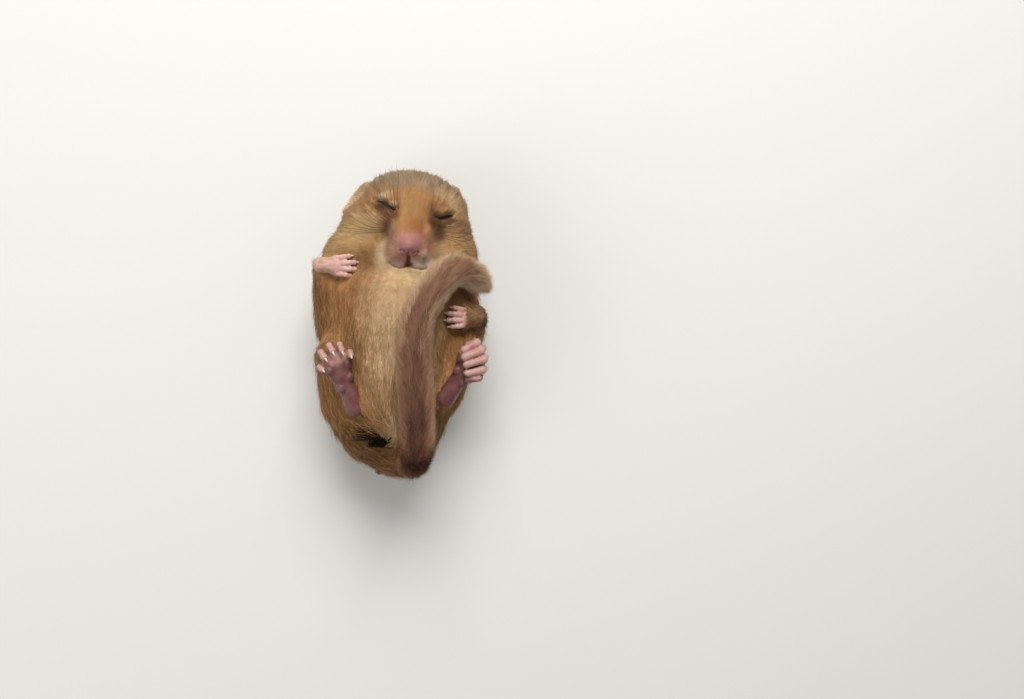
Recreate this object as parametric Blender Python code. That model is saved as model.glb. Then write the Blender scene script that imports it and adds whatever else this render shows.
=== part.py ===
"""A hazel dormouse in torpor, life size, as a still museum model.

It lies curled on its back: +Z points up out of its belly, +Y towards its head, and +X towards its
own left side. The origin is the middle of the small flat under its back, on the floor.
Sizes are in millimetres until deliver() turns each finished mesh into metres.
"""

import math
import random

import bmesh
import bpy
from mathutils import Matrix, Vector

# Parts that touch keep this gap, and a cut that parts the flesh is this wide.
GAP = 0.3

# Grain of the clay, and what is left of it once it is slimmed.
FIGURE_GRAIN = 0.5
FIGURE_TRIANGLES = 3640
CREASE_FILL = 1.5
PAW_GRAIN = 0.22
FOREPAW_TRIANGLES = 410
HIND_FOOT_TRIANGLES = 540

# The head's own frame: x to the animal's right, y along the snout, z up through the crown.
# Its origin is midway between the eyes.
HEAD_AT = Vector((3.0, 22.8, 20.8))
HEAD_PITCH = math.radians(22)
HEAD_ROLL = math.radians(-10.5)

# Sections of the trunk from rump to nape: centre, then radii. They run into each other.
TRUNK = (
    ((-0.2, -26.6, 13.6), (6.4, 3.8, 7.0)),
    ((-1.8, -24.0, 13.2), (9.4, 4.0, 9.2)),
    ((-2.3, -20.0, 12.8), (11.8, 4.5, 11.2)),
    ((-1.7, -15.0, 12.7), (13.8, 5.0, 12.7)),
    ((-0.7, -8.0, 12.8), (15.0, 6.0, 13.7)),
    ((0.0, 0.0, 12.8), (15.3, 6.0, 13.9)),
    ((0.0, 6.5, 12.6), (15.6, 6.0, 13.1)),
    ((-0.3, 12.5, 11.6), (15.0, 5.0, 10.9)),
    ((1.0, 18.0, 11.2), (12.8, 5.0, 9.4)),
)
# Loose coat that fills the neck out to the shoulders: centre, then radii.
RUFF = {
    "right": ((-7.8, 13.6, 14.2), (7.5, 6.4, 7.6)),
    "right cheek": ((-5.6, 19.0, 13.6), (6.5, 6.4, 7.4)),
    "left": ((8.4, 14.0, 14.2), (7.4, 7.6, 7.6)),
}

# Masses of the head in its own frame. A side mass is given for the right side and mirrored.
SKULL = {
    "cranium": ((0, -6.1, -2.0), (11.0, 8.0, 7.6)),
    "forehead": ((0, -0.4, -0.6), (6.6, 5.8, 4.4)),
    "throat": ((0, -2.4, -8.2), (6.4, 6.4, 4.4)),
    "chin": ((0, 4.0, -9.4), (2.3, 3.4, 1.9)),
}
SKULL_SIDES = {
    "cheek": ((6.6, -3.6, -4.8), (5.6, 6.2, 5.4)),
    "brow": ((4.4, 0.2, 0.8), (2.6, 2.8, 2.0)),
    "lip": ((2.0, 6.3, -7.0), (2.3, 2.5, 1.9)),
}
MUZZLE = (((0, 0, -3.2), 5.2), ((0, 3.8, -4.4), 4.4), ((0, 6.8, -5.6), 3.2))

# A shut eye is a ball under its lids, cut by the slit between them. The slit runs out and up
# from its inner corner.
EYE_AT = Vector((5.6, 2.6, -0.2))
EYE_FACING = Vector((0.62, 0.76, 0.12))
EYE_SLIT_WAY = Vector((0.74, -0.6, 0.02))
EYE_RADII = (2.7, 2.0, 1.6)
EYE_SHOWS = 0.5
SLIT_WIDTH = 0.45
SLIT_DEPTH = 0.5
SLIT_SWEEP = math.radians(58)
SLIT_ARCH = 0.16

# The bare nose pad, and the nostrils in it.
NOSE_AT = Vector((0, 9.0, -5.3))
NOSE_RADII = (1.5, 1.4, 1.2)
NOSTRIL_AT = Vector((0.85, 10.0, -5.5))
NOSTRIL_RADII = (0.32, 0.8, 0.24)

# The cleft runs from the middle of the nose pad down between the upper lips.
CLEFT_TOP = Vector((0, 10.5, -5.5))
CLEFT_FOOT = Vector((0, 7.6, -8.8))
CLEFT_WIDTH = 0.4
CLEFT_DEPTH = 0.55

# What lies under the mouth line and moves with the chin in life.
JAW = (((0, 6.4, -11.0), 2.5), ((0, 1.0, -12.0), 4.2))

# Each ear is a rounded cup, folded back in sleep.
EAR_AT = {"right": (10.1, -8.3, -2.1), "left": (8.3, -8.2, 0.9)}
EAR_LENGTH = 8.4
EAR_WIDTH = 7.2
EAR_WALL = 0.6
EAR_LEAN = {"right": (0.40, -0.72, -0.57), "left": (0.24, -0.74, -0.62)}
EAR_OPENS = Vector((0.86, 0.1, 0.5))

# Two cuts part the head from the neck and the neck from the trunk: a point on each, and the way
# to the head.
HEAD_CUT = (Vector((0, 17.2, 14.6)), Vector((0, 0.80, 0.60)))
NECK_CUT = (Vector((0, 12.6, 12.6)), Vector((0, 0.88, 0.47)))

# Limb joints and the limb's radius at each. The right forepaw rests beside the cheek, and the
# left one is tucked on the chest under the tail.
FORELEGS = {
    "right": (((-9.8, 6.6, 12), 5.8), ((-12.6, 0, 13.5), 4.2), ((-14.8, 10.4, 19.2), 2.5)),
    "left": (((10.2, 6.6, 12), 5.8), ((13.0, -1.5, 13.5), 4.0), ((14.6, 2.4, 21.2), 2.4)),
}
HIND_LEGS = {
    "right": (
        ((-8.8, -14.6, 12.4), 7.4),
        ((-11.6, -5.5, 15), 5.2),
        ((-12.0, -4.5, 19), 3.6),
        ((-8.2, -14.6, 22.2), 2.5),
    ),
    "left": (
        ((6.2, -12.2, 12.4), 7.2),
        ((11.4, -4.2, 15), 5.0),
        ((12.6, -3.6, 19), 3.6),
        ((8.4, -13.8, 22.2), 2.5),
    ),
}
LIMB_MARGIN = 0.9

# The tail's middle line from inside the rump, over the belly, to its end beside the left cheek.
TAIL_ROUTE = (
    (1.0, -22.0, 15.0),
    (1.9, -25.8, 19.6),
    (2.7, -25.0, 24.8),
    (3.0, -21.2, 27.8),
    (2.9, -13.7, 29.4),
    (2.6, -6.4, 30.0),
    (3.0, -0.9, 30.0),
    (4.6, 3.4, 29.6),
    (6.9, 7.2, 28.6),
    (9.7, 9.4, 26.3),
    (13.3, 9.2, 23.2),
    (16.5, 7.7, 19.2),
)
TAIL_RADII = (2.4, 2.8, 3.2, 3.3, 3.3, 3.2, 3.2, 3.2, 3.2, 3.1, 2.7, 0.9)
TAIL_PARTS = ("tail_base", "tail_middle", "tail_end", "tail_tip")
# The tail's coat: a core half as thick as the brush, and whorls of flat locks that lie along it.
CORE_SHARE = 0.5
CORE_SIDES = 6
CORE_RINGS = 16
WHORLS_PER_PART = 3
WHORL_LOCKS = 4
LOCK_LENGTH = 9.4
LOCK_WIDTH = 5.0
LOCK_THICKNESS = 0.8
# Each whorl starts this far before its even share of the tail, so that it is full at every cut.
LOCK_SETBACK = 1.0
# A lock leaves the core at the first share of the brush's radius and rises to the second.
LOCK_ROOT = 0.3
LOCK_CREST = 0.92
LOCK_RISE = 0.35
LOCK_TIP_OVERRUN = 1.6
# Along a lock: how far, and its share of the width and of the thickness there.
LOCK_SECTIONS = ((0, 0.7, 1.1), (0.24, 1.0, 1.0), (0.68, 0.82, 0.7))
LOCK_SEED = 7

# Paws in their own frames: y towards the digits, z out of the sole or the palm.
HIND_FOOT = {
    "left": {"heel": (8.6, -13.8, 23.2), "toes": (16.8, -1.8, 26.4), "sole": (-0.15, -0.1, 1)},
    "right": {"heel": (-8.4, -15.2, 23.0), "toes": (-13.6, -2.8, 26.2), "sole": (0.2, -0.1, 1)},
}
FOREPAW = {
    "left": {"heel": (14.2, 1.2, 21.8), "toes": (8.6, 1.6, 26.0), "sole": (-0.5, 0.0, -1)},
    "right": {"heel": (-14.0, 11.3, 20.6), "toes": (-7.8, 11.0, 23.2), "sole": (0.4, 0.1, -1)},
}

# Pads of the sole: x, y, z and size. Those of the palm: x and y.
HIND_PADS = (
    (-1.2, 4.4, 1.2, 0.85),
    (1.1, 5.6, 1.2, 0.85),
    (-1.8, 8.6, 1.0, 0.8),
    (-0.6, 9.8, 1.2, 0.8),
    (0.8, 9.7, 1.2, 0.8),
    (1.9, 8.4, 0.9, 0.8),
)
FORE_PADS = ((-1.0, 1.5), (0.9, 1.3), (-1.1, 2.8), (0.0, 3.2), (1.1, 2.7))
# Digits: x and y of the root, spread in degrees, length, and the bend at each joint. The left
# foot is clenched, with its toes turned outwards and folded back across the sole.
HIND_TOES = {
    "right": (
        (-2.2, 8.2, -24, 3.4, (10, 50, 105)),
        (-1.3, 9.8, -8, 4.8, (6, 50, 118)),
        (0.1, 10.2, 2, 5.0, (4, 50, 118)),
        (1.4, 9.7, 12, 4.8, (6, 50, 118)),
        (2.2, 8.4, 28, 3.6, (10, 50, 105)),
    ),
    "left": (
        (-1.9, 6.2, -44, 4.0, (10, 84, 168)),
        (-1.3, 7.5, -42, 5.2, (10, 84, 170)),
        (-0.3, 9.0, -38, 6.1, (8, 84, 172)),
        (0.9, 10.0, -34, 6.1, (8, 84, 170)),
        (2.0, 10.8, -28, 4.8, (10, 80, 164)),
    ),
}
# A toe's radius at its root and at each joint after it.
TOE_RADII = {"right": (0.85, 0.66, 0.62, 0.58), "left": (0.85, 0.80, 0.76, 0.68)}
FORE_FINGERS = (
    (-1.4, 2.6, -10, 2.5, (-8, 14, 52)),
    (-0.5, 3.1, -3, 3.0, (-8, 14, 56)),
    (0.5, 3.1, 4, 2.9, (-8, 14, 56)),
    (1.4, 2.6, 12, 2.3, (-8, 14, 52)),
)

# Each part's finish: colour and roughness.
FINISHES = {
    "golden_coat": ((0.46, 0.25, 0.10), 0.85),
    "tail_coat": ((0.26, 0.13, 0.07), 0.85),
    "pink_skin": ((0.72, 0.38, 0.34), 0.5),
    "eyelid_skin": ((0.30, 0.17, 0.11), 0.6),
}


def mirrored(point, side):
    """A point of the right side, or its twin across the middle plane where side is -1."""
    return Vector((point[0] * side, point[1], point[2]))


def head_matrix():
    """From the head's own frame to the model's."""
    nod = Matrix(
        (
            (-1, 0, 0),
            (0, -math.sin(HEAD_PITCH), math.cos(HEAD_PITCH)),
            (0, math.cos(HEAD_PITCH), math.sin(HEAD_PITCH)),
        )
    ).to_4x4()
    return Matrix.Translation(HEAD_AT) @ Matrix.Rotation(HEAD_ROLL, 4, "Z") @ nod


def frame_of(origin, ahead, up):
    """A frame at origin with y towards ahead and z as near to up as it can be."""
    y = Vector(ahead).normalized()
    x = y.cross(Vector(up)).normalized()
    z = x.cross(y)
    turn = Matrix((x, y, z)).transposed().to_4x4()
    return Matrix.Translation(origin) @ turn


def new_object(name, mesh):
    obj = bpy.data.objects.new(name, mesh)
    bpy.context.scene.collection.objects.link(obj)
    return obj


def object_of(name, form):
    """The object of a bmesh, which is freed."""
    mesh = bpy.data.meshes.new(name)
    form.to_mesh(mesh)
    form.free()
    return new_object(name, mesh)


def discard(*objects):
    for obj in objects:
        bpy.data.objects.remove(obj)


def copy_of(obj, name):
    return new_object(name, obj.data.copy())


def bake(obj):
    """Makes the object's modifiers real."""
    graph = bpy.context.evaluated_depsgraph_get()
    mesh = bpy.data.meshes.new_from_object(obj.evaluated_get(graph))
    obj.modifiers.clear()
    obj.data = mesh
    return obj


def add_ball(form, centre, radii, frame=None, detail=4):
    """An ellipsoid in the given frame, added to a bmesh."""
    place = (frame or Matrix()) @ Matrix.Translation(centre) @ Matrix.Diagonal((*radii, 1))
    bmesh.ops.create_icosphere(form, subdivisions=detail, radius=1, matrix=place)


def add_limb(form, joints, frame=None, margin=0, steps=7, detail=3):
    """A chain of balls from joint to joint, close enough to melt into one tapering limb."""
    for (start, thick), (end, thin) in zip(joints, joints[1:]):
        for step in range(steps + 1):
            t = step / steps
            radius = thick + (thin - thick) * t + margin
            add_ball(form, Vector(start).lerp(Vector(end), t), (radius,) * 3, frame, detail)


def add_trunk(form, steps=5):
    """Ellipsoids that run from one station of the trunk to the next."""
    for (near, wide), (far, narrow) in zip(TRUNK, TRUNK[1:]):
        for step in range(steps + 1):
            t = step / steps
            add_ball(form, Vector(near).lerp(Vector(far), t), Vector(wide).lerp(Vector(narrow), t))


def remeshed(obj, grain):
    remesh = obj.modifiers.new("Melt", "REMESH")
    remesh.mode = "VOXEL"
    remesh.voxel_size = grain
    return bake(obj)


def smoothed(obj, rounds):
    smooth = obj.modifiers.new("Rub", "SMOOTH")
    smooth.factor = 0.5
    smooth.iterations = rounds
    return bake(obj)


def swollen(obj, margin):
    """Moves the whole surface out along its normals."""
    displace = obj.modifiers.new("Swell", "DISPLACE")
    displace.mid_level = 0
    displace.strength = margin
    return bake(obj)


def slim(obj, triangles):
    """Fewer triangles, kept where the form bends most."""
    obj.data.calc_loop_triangles()
    decimate = obj.modifiers.new("Slim", "DECIMATE")
    decimate.ratio = min(1, triangles / len(obj.data.loop_triangles))
    return bake(obj)


def combine(obj, operation, other, solver="EXACT"):
    """One Boolean, made real at once."""
    modifier = obj.modifiers.new("Combine", "BOOLEAN")
    modifier.operation = operation
    modifier.solver = solver
    modifier.object = other
    return bake(obj)


def cut_flat(obj, point, normal):
    """Removes what lies beyond a plane, on the side that its normal points to, and caps the cut."""
    form = bmesh.new()
    form.from_mesh(obj.data)
    everything = form.verts[:] + form.edges[:] + form.faces[:]
    bmesh.ops.bisect_plane(
        form, geom=everything, dist=1e-5, plane_co=point, plane_no=normal, clear_outer=True
    )
    rim = [edge for edge in form.edges if edge.is_boundary]
    caps = bmesh.ops.holes_fill(form, edges=rim, sides=0)["faces"]
    bmesh.ops.triangulate(form, faces=caps)
    form.to_mesh(obj.data)
    form.free()
    return obj


def shells_of(obj):
    """The separate closed surfaces of a mesh, as lists of vertex indices."""
    form = bmesh.new()
    form.from_mesh(obj.data)
    unseen = set(form.verts)
    shells = []
    while unseen:
        waiting = [unseen.pop()]
        shell = []
        while waiting:
            vert = waiting.pop()
            shell.append(vert.index)
            near = [edge.other_vert(vert) for edge in vert.link_edges]
            fresh = [other for other in near if other in unseen]
            unseen.difference_update(fresh)
            waiting.extend(fresh)
        shells.append(shell)
    form.free()
    return sorted(shells, key=len)


def keep_only(obj, wanted):
    """Removes every vertex that isn't wanted."""
    form = bmesh.new()
    form.from_mesh(obj.data)
    form.verts.ensure_lookup_table()
    wanted = set(wanted)
    loose = [vert for vert in form.verts if vert.index not in wanted]
    bmesh.ops.delete(form, geom=loose, context="VERTS")
    form.to_mesh(obj.data)
    form.free()
    return obj


def keep_largest(obj):
    """Keeps only the largest closed surface of a mesh."""
    return keep_only(obj, shells_of(obj)[-1])


# The fleshy figure: trunk, head and upper limbs in one skin, which is parted afterwards.


def make_figure():
    form = bmesh.new()
    add_trunk(form)
    head = head_matrix()
    for centre, radii in [*SKULL.values()]:
        add_ball(form, centre, radii, head)
    for centre, radii in SKULL_SIDES.values():
        for side in (1, -1):
            add_ball(form, mirrored(centre, side), radii, head)
    for centre, radii in RUFF.values():
        add_ball(form, centre, radii)
    add_limb(form, MUZZLE, head)
    for joints in [*FORELEGS.values(), *HIND_LEGS.values()]:
        add_limb(form, joints)
    figure = remeshed(object_of("figure", form), FIGURE_GRAIN)
    swollen(figure, CREASE_FILL)
    remeshed(figure, FIGURE_GRAIN)
    swollen(figure, -CREASE_FILL)
    remeshed(figure, FIGURE_GRAIN)
    smoothed(figure, 6)
    slim(figure, FIGURE_TRIANGLES)
    return cut_flat(figure, (0, 0, 0), (0, 0, -1))


def limb_region(name, joints):
    """The lump of the figure that counts as one limb, a little fatter than the limb itself."""
    form = bmesh.new()
    add_limb(form, joints, margin=LIMB_MARGIN, detail=3)
    region = remeshed(object_of(name, form), 0.7)
    smoothed(region, 4)
    return slim(region, 260)


def part_limb(name, joints, torso):
    """Takes one limb out of the trunk, and leaves a bed for it there."""
    region = limb_region(name + "_region", joints)
    limb = copy_of(torso, name)
    combine(limb, "INTERSECT", region)
    combine(torso, "DIFFERENCE", swollen(region, GAP))
    discard(region)
    return keep_largest(limb)


def part_figure(figure):
    """Head, neck, trunk and limbs from one figure by thin cuts."""
    half = GAP / 2
    head = copy_of(figure, "head")
    neck = copy_of(figure, "neck")
    torso = copy_of(figure, "torso")
    point, way = HEAD_CUT
    way = way.normalized()
    cut_flat(head, point + way * half, -way)
    cut_flat(neck, point - way * half, way)
    point, way = NECK_CUT
    way = way.normalized()
    cut_flat(neck, point + way * half, -way)
    cut_flat(torso, point - way * half, way)
    keep_largest(head)
    for side, joints in FORELEGS.items():
        part_limb("foreleg_" + side, joints, torso)
    for side, joints in HIND_LEGS.items():
        part_limb("hind_leg_" + side, joints, torso)
    keep_largest(torso)
    keep_largest(neck)
    return head


def on_skin(skin, point):
    """The nearest point of a skin, and the way out there."""
    _, place, normal, _ = skin.closest_point_on_mesh(point)
    return place, normal


def make_jaw(head):
    """The lower jaw, whose upper seam is the line of the mouth."""
    form = bmesh.new()
    add_limb(form, JAW, head_matrix(), detail=3)
    region = slim(smoothed(remeshed(object_of("jaw_region", form), 0.5), 3), 300)
    jaw = copy_of(head, "lower_jaw")
    combine(jaw, "INTERSECT", region)
    combine(head, "DIFFERENCE", swollen(region, GAP))
    discard(region)
    return keep_largest(jaw)


def add_groove(form, points, outward, width, depth):
    """A V-shaped cutter along the points, open to the outside."""
    rings = []
    last = len(points) - 1
    for i, point in enumerate(points):
        along = (points[min(i + 1, last)] - points[max(i - 1, 0)]).normalized()
        out = outward[i].normalized()
        across = along.cross(out).normalized() * width / 2
        ring = (point + out + across * 2.2, point + out - across * 2.2, point - out * depth)
        rings.append([form.verts.new(corner) for corner in ring])
    for here, there in zip(rings, rings[1:]):
        for k in range(3):
            form.faces.new((here[k], here[(k + 1) % 3], there[(k + 1) % 3], there[k]))
    form.faces.new(rings[0][::-1])
    form.faces.new(rings[-1])
    bmesh.ops.recalc_face_normals(form, faces=form.faces[:])


def make_eyelids(head, skin):
    """Each shut eye: a ball of lid with a slit across it, let into the head."""
    to_model = head_matrix()
    for name, side in (("eyelids_right", 1), ("eyelids_left", -1)):
        place, _ = on_skin(skin, to_model @ mirrored(EYE_AT, side))
        out = (to_model.to_3x3() @ mirrored(EYE_FACING, side)).normalized()
        way = to_model.to_3x3() @ mirrored(EYE_SLIT_WAY, side)
        way = (way - out * way.dot(out)).normalized()
        up = out.cross(way) * -side
        frame = Matrix((way, out, up)).transposed().to_4x4()
        frame = Matrix.Translation(place - out * (EYE_RADII[1] - EYE_SHOWS)) @ frame
        form = bmesh.new()
        add_ball(form, (0, 0, 0), EYE_RADII, frame, detail=3)
        bmesh.ops.recalc_face_normals(form, faces=form.faces[:])
        lids = object_of(name, form)
        socket = swollen(copy_of(lids, "socket"), GAP)
        combine(head, "DIFFERENCE", socket)
        points, outward = [], []
        for step in range(9):
            sweep = SLIT_SWEEP * (step / 4 - 1)
            rise = SLIT_ARCH * math.cos(sweep * 1.9)
            facing = Vector((math.sin(sweep), math.cos(sweep), rise)).normalized()
            at = Vector([facing[k] * EYE_RADII[k] for k in range(3)])
            points.append(frame @ at)
            outward.append(frame.to_3x3() @ facing)
        form = bmesh.new()
        add_groove(form, points, outward, SLIT_WIDTH, SLIT_DEPTH)
        slit = object_of("slit", form)
        combine(lids, "DIFFERENCE", slit)
        discard(socket, slit)
        keep_largest(lids)


def make_nose(head):
    """The bare pad with its two nostrils. A cleft runs from it down between the upper lips."""
    to_model = head_matrix()
    form = bmesh.new()
    add_ball(form, NOSE_AT, NOSE_RADII, to_model, detail=3)
    nose = object_of("nose", form)
    socket = swollen(copy_of(nose, "socket"), GAP)
    combine(head, "DIFFERENCE", socket)
    for side in (1, -1):
        form = bmesh.new()
        frame = to_model @ Matrix.Translation(mirrored(NOSTRIL_AT, side))
        frame = frame @ Matrix.Rotation(math.radians(-34 * side), 4, "Z")
        add_ball(form, (0, 0, 0), NOSTRIL_RADII, frame, detail=1)
        nostril = object_of("nostril", form)
        combine(nose, "DIFFERENCE", nostril)
        discard(nostril)
    points = [to_model @ CLEFT_TOP.lerp(CLEFT_FOOT, step / 5) for step in range(6)]
    out = to_model.to_3x3() @ Vector((0, 1, -0.9)).normalized()
    form = bmesh.new()
    add_groove(form, points, [out] * len(points), CLEFT_WIDTH, CLEFT_DEPTH)
    cleft = object_of("cleft", form)
    combine(head, "DIFFERENCE", cleft)
    combine(nose, "DIFFERENCE", cleft)
    discard(socket, cleft)
    keep_largest(nose)


# Ears


def make_ears(skin):
    to_model = head_matrix()
    bed = swollen(copy_of(skin, "bed"), GAP)
    for name, side in (("right", 1), ("left", -1)):
        root = to_model @ mirrored(EAR_AT[name], side)
        ahead = to_model.to_3x3() @ mirrored(EAR_LEAN[name], side)
        opens = to_model.to_3x3() @ mirrored(EAR_OPENS, side)
        frame = frame_of(root, ahead, opens)
        rows, columns = 8, 8
        grid = []
        form = bmesh.new()
        for i in range(rows + 1):
            sweep = math.pi * (0.22 + 0.78 * i / rows)
            reach = EAR_LENGTH * (0.5 - 0.5 * math.cos(sweep)) - 1
            half = max(EAR_WIDTH / 2 * math.sin(sweep), 0.25)
            row = []
            for j in range(columns + 1):
                v = 2 * j / columns - 1
                cup = 1.5 * abs(v) ** 2.4 * math.sin(sweep) - 1.1 * math.sin(sweep) + 0.5
                row.append(form.verts.new(frame @ Vector((v * half, reach, cup))))
            grid.append(row)
        for low, high in zip(grid, grid[1:]):
            for j in range(columns):
                form.faces.new((low[j], low[j + 1], high[j + 1], high[j]))
        bmesh.ops.recalc_face_normals(form, faces=form.faces[:])
        ear = object_of("ear_" + name, form)
        wall = ear.modifiers.new("Wall", "SOLIDIFY")
        wall.thickness = EAR_WALL
        wall.offset = 0
        bake(ear)
        combine(ear, "DIFFERENCE", bed)
        keep_largest(ear)
    discard(bed)


# Tail


def route_point(points, t):
    """A point on the smooth curve through the points, t counted in points."""
    i = min(int(t), len(points) - 2)
    t -= i
    p0, p1 = Vector(points[max(i - 1, 0)]), Vector(points[i])
    p2, p3 = Vector(points[i + 1]), Vector(points[min(i + 2, len(points) - 1)])
    return 0.5 * (
        2 * p1
        + (p2 - p0) * t
        + (2 * p0 - 5 * p1 + 4 * p2 - p3) * t * t
        + (3 * p1 - p0 - 3 * p2 + p3) * t ** 3
    )


class Tail:
    """The tail's middle line, with a frame carried along it."""

    def __init__(self, per_point=6):
        count = (len(TAIL_ROUTE) - 1) * per_point
        self.points = [route_point(TAIL_ROUTE, i / per_point) for i in range(count + 1)]
        radii = [(r, 0, 0) for r in TAIL_RADII]
        self.radii = [route_point(radii, i / per_point).x for i in range(count + 1)]
        self.reach = [0.0]
        for a, b in zip(self.points, self.points[1:]):
            self.reach.append(self.reach[-1] + (b - a).length)
        self.length = self.reach[-1]
        self.along = [
            (self.points[min(i + 1, count)] - self.points[max(i - 1, 0)]).normalized()
            for i in range(count + 1)
        ]
        out = Vector((1, 0, 0))
        self.out = []
        for along in self.along:
            out = (out - along * out.dot(along)).normalized()
            self.out.append(out)

    def at(self, reach):
        """Point, way along, way out and radius at a distance from the root."""
        i = max(k for k in range(len(self.reach) - 1) if self.reach[k] <= max(reach, 0))
        t = (reach - self.reach[i]) / (self.reach[i + 1] - self.reach[i])
        point = self.points[i].lerp(self.points[i + 1], t)
        along = self.along[i].lerp(self.along[i + 1], min(t, 1)).normalized()
        out = self.out[i].lerp(self.out[i + 1], min(t, 1)).normalized()
        radius = self.radii[i] + (self.radii[i + 1] - self.radii[i]) * min(t, 1)
        return point, along, out, radius

    def rim(self, reach, angle, radius):
        """A point at a radius from the middle line."""
        point, along, out, _ = self.at(reach)
        return point + (out * math.cos(angle) + along.cross(out) * math.sin(angle)) * radius


def make_core(tail):
    """The flesh of the tail with its under-fur, which the locks grow from."""
    form = bmesh.new()
    loops = []
    for i in range(CORE_RINGS + 1):
        reach = tail.length * i / CORE_RINGS
        radius = tail.at(reach)[3] * CORE_SHARE
        turns = [2 * math.pi * k / CORE_SIDES for k in range(CORE_SIDES)]
        loops.append([form.verts.new(tail.rim(reach, turn, radius)) for turn in turns])
    for low, high in zip(loops, loops[1:]):
        for k in range(CORE_SIDES):
            after = (k + 1) % CORE_SIDES
            form.faces.new((low[k], low[after], high[after], high[k]))
    form.faces.new(loops[0][::-1])
    form.faces.new(loops[-1])
    bmesh.ops.recalc_face_normals(form, faces=form.faces[:])
    return object_of("tail", form)


def make_lock(tail, reach, angle, length, width):
    """One flat lock, rooted in the core and tapering to a tip that lies at the brush's outside."""
    form = bmesh.new()
    loops = []
    for t, wide, thick in LOCK_SECTIONS:
        at = reach + length * t
        full = tail.at(at)[3]
        climb = (t / LOCK_SECTIONS[-1][0]) ** LOCK_RISE
        rim = full * (LOCK_ROOT + (LOCK_CREST - LOCK_ROOT) * climb)
        half = width / 2 * wide / max(rim, 1.2)
        deep = LOCK_THICKNESS / 2 * thick
        corners = ((-half, rim - deep * 0.4), (0, rim + deep), (half, rim - deep * 0.4))
        loops.append([form.verts.new(tail.rim(at, angle + turn, out)) for turn, out in corners])
    tip = form.verts.new(tail.rim(reach + length, angle, tail.at(reach + length)[3]))
    for low, high in zip(loops, loops[1:]):
        for k in range(3):
            form.faces.new((low[k], low[(k + 1) % 3], high[(k + 1) % 3], high[k]))
    form.faces.new(loops[0][::-1])
    for k in range(3):
        form.faces.new((loops[-1][k], loops[-1][(k + 1) % 3], tip))
    bmesh.ops.recalc_face_normals(form, faces=form.faces[:])
    return object_of("lock", form)


def make_brush(tail):
    """The core with its whorls of locks, each whorl turned by half a lock against the last."""
    draw = random.Random(LOCK_SEED)
    locks = bpy.data.collections.new("locks")
    bpy.context.scene.collection.children.link(locks)
    whorls = WHORLS_PER_PART * len(TAIL_PARTS)
    step = tail.length / whorls
    for whorl in range(whorls):
        for k in range(WHORL_LOCKS):
            angle = 2 * math.pi * (k + 0.5 * (whorl % 2) + draw.uniform(-0.08, 0.08)) / WHORL_LOCKS
            reach = step * (whorl + draw.uniform(-0.05, 0.05)) - LOCK_SETBACK
            length = min(LOCK_LENGTH * draw.uniform(0.9, 1.1), tail.length + LOCK_TIP_OVERRUN - reach)
            lock = make_lock(tail, reach, angle, length, LOCK_WIDTH * draw.uniform(0.92, 1.08))
            bpy.context.scene.collection.objects.unlink(lock)
            locks.objects.link(lock)
    brush = make_core(tail)
    union = brush.modifiers.new("Locks", "BOOLEAN")
    union.operation = "UNION"
    union.operand_type = "COLLECTION"
    union.collection = locks
    union.solver = "MANIFOLD"
    bake(brush)
    discard(*locks.objects)
    bpy.data.collections.remove(locks)
    return brush


def part_tail(tail, whole, body):
    """Cuts the tail clear of the body, and across into its lengths."""
    combine(whole, "DIFFERENCE", body, "MANIFOLD")
    share = tail.length / len(TAIL_PARTS)
    slab_size = (14, GAP, 14, 1)
    form = bmesh.new()
    for i in range(1, len(TAIL_PARTS)):
        point, along, out, _ = tail.at(share * i)
        place = frame_of(point, along, out) @ Matrix.Diagonal(slab_size)
        bmesh.ops.create_cube(form, size=1, matrix=place)
    slabs = object_of("slabs", form)
    combine(whole, "DIFFERENCE", slabs, "MANIFOLD")
    lengths = shells_of(whole)[-len(TAIL_PARTS):]
    where = []
    for shell in lengths:
        middle = sum((whole.data.vertices[i].co for i in shell), Vector()) / len(shell)
        where.append(min(range(len(tail.points)), key=lambda k: (tail.points[k] - middle).length))
    for name, (_, shell) in zip(TAIL_PARTS, sorted(zip(where, lengths))):
        keep_only(copy_of(whole, name), shell)
    discard(whole, slabs)


# Paws


def paw_frame(place):
    heel = Vector(place["heel"])
    return frame_of(heel, Vector(place["toes"]) - heel, place["sole"])


def add_digit(form, frame, root, spread, length, curls, radii):
    """One digit, bent a little more at each joint. Returns its tip and the way it points."""
    turn = math.radians(spread)
    at = Vector(root)
    joints = [(at, radii[0])]
    for curl, radius in zip(curls, radii[1:]):
        bend = math.radians(curl)
        way = Vector((math.sin(turn) * math.cos(bend), math.cos(turn) * math.cos(bend), math.sin(bend)))
        at = at + way * length / len(curls)
        joints.append((at, radius))
    add_limb(form, joints, frame, steps=4, detail=2)
    return frame @ at, (frame.to_3x3() @ way).normalized()


def add_claw(form, tip, way, up):
    """A small hooked cone that grows out of a digit's tip."""
    hook = (way - up * 0.5).normalized()
    rings = ((tip - way * 0.5, 0.3), (tip + way * 0.55, 0.22), (tip + way * 0.8 + hook * 0.35, 0.05))
    loops = []
    for centre, radius in rings:
        side = way.cross(up).normalized() * radius
        lift = side.cross(way).normalized() * radius
        turns = [2 * math.pi * k / 5 for k in range(5)]
        loops.append([form.verts.new(centre + side * math.cos(a) + lift * math.sin(a)) for a in turns])
    for low, high in zip(loops, loops[1:]):
        for k in range(5):
            form.faces.new((low[k], low[(k + 1) % 5], high[(k + 1) % 5], high[k]))
    faces = [form.faces.new(loops[0][::-1]), form.faces.new(loops[-1])]
    faces += [face for vert in loops[1] for face in vert.link_faces]
    bmesh.ops.recalc_face_normals(form, faces=list(set(faces)))


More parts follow.
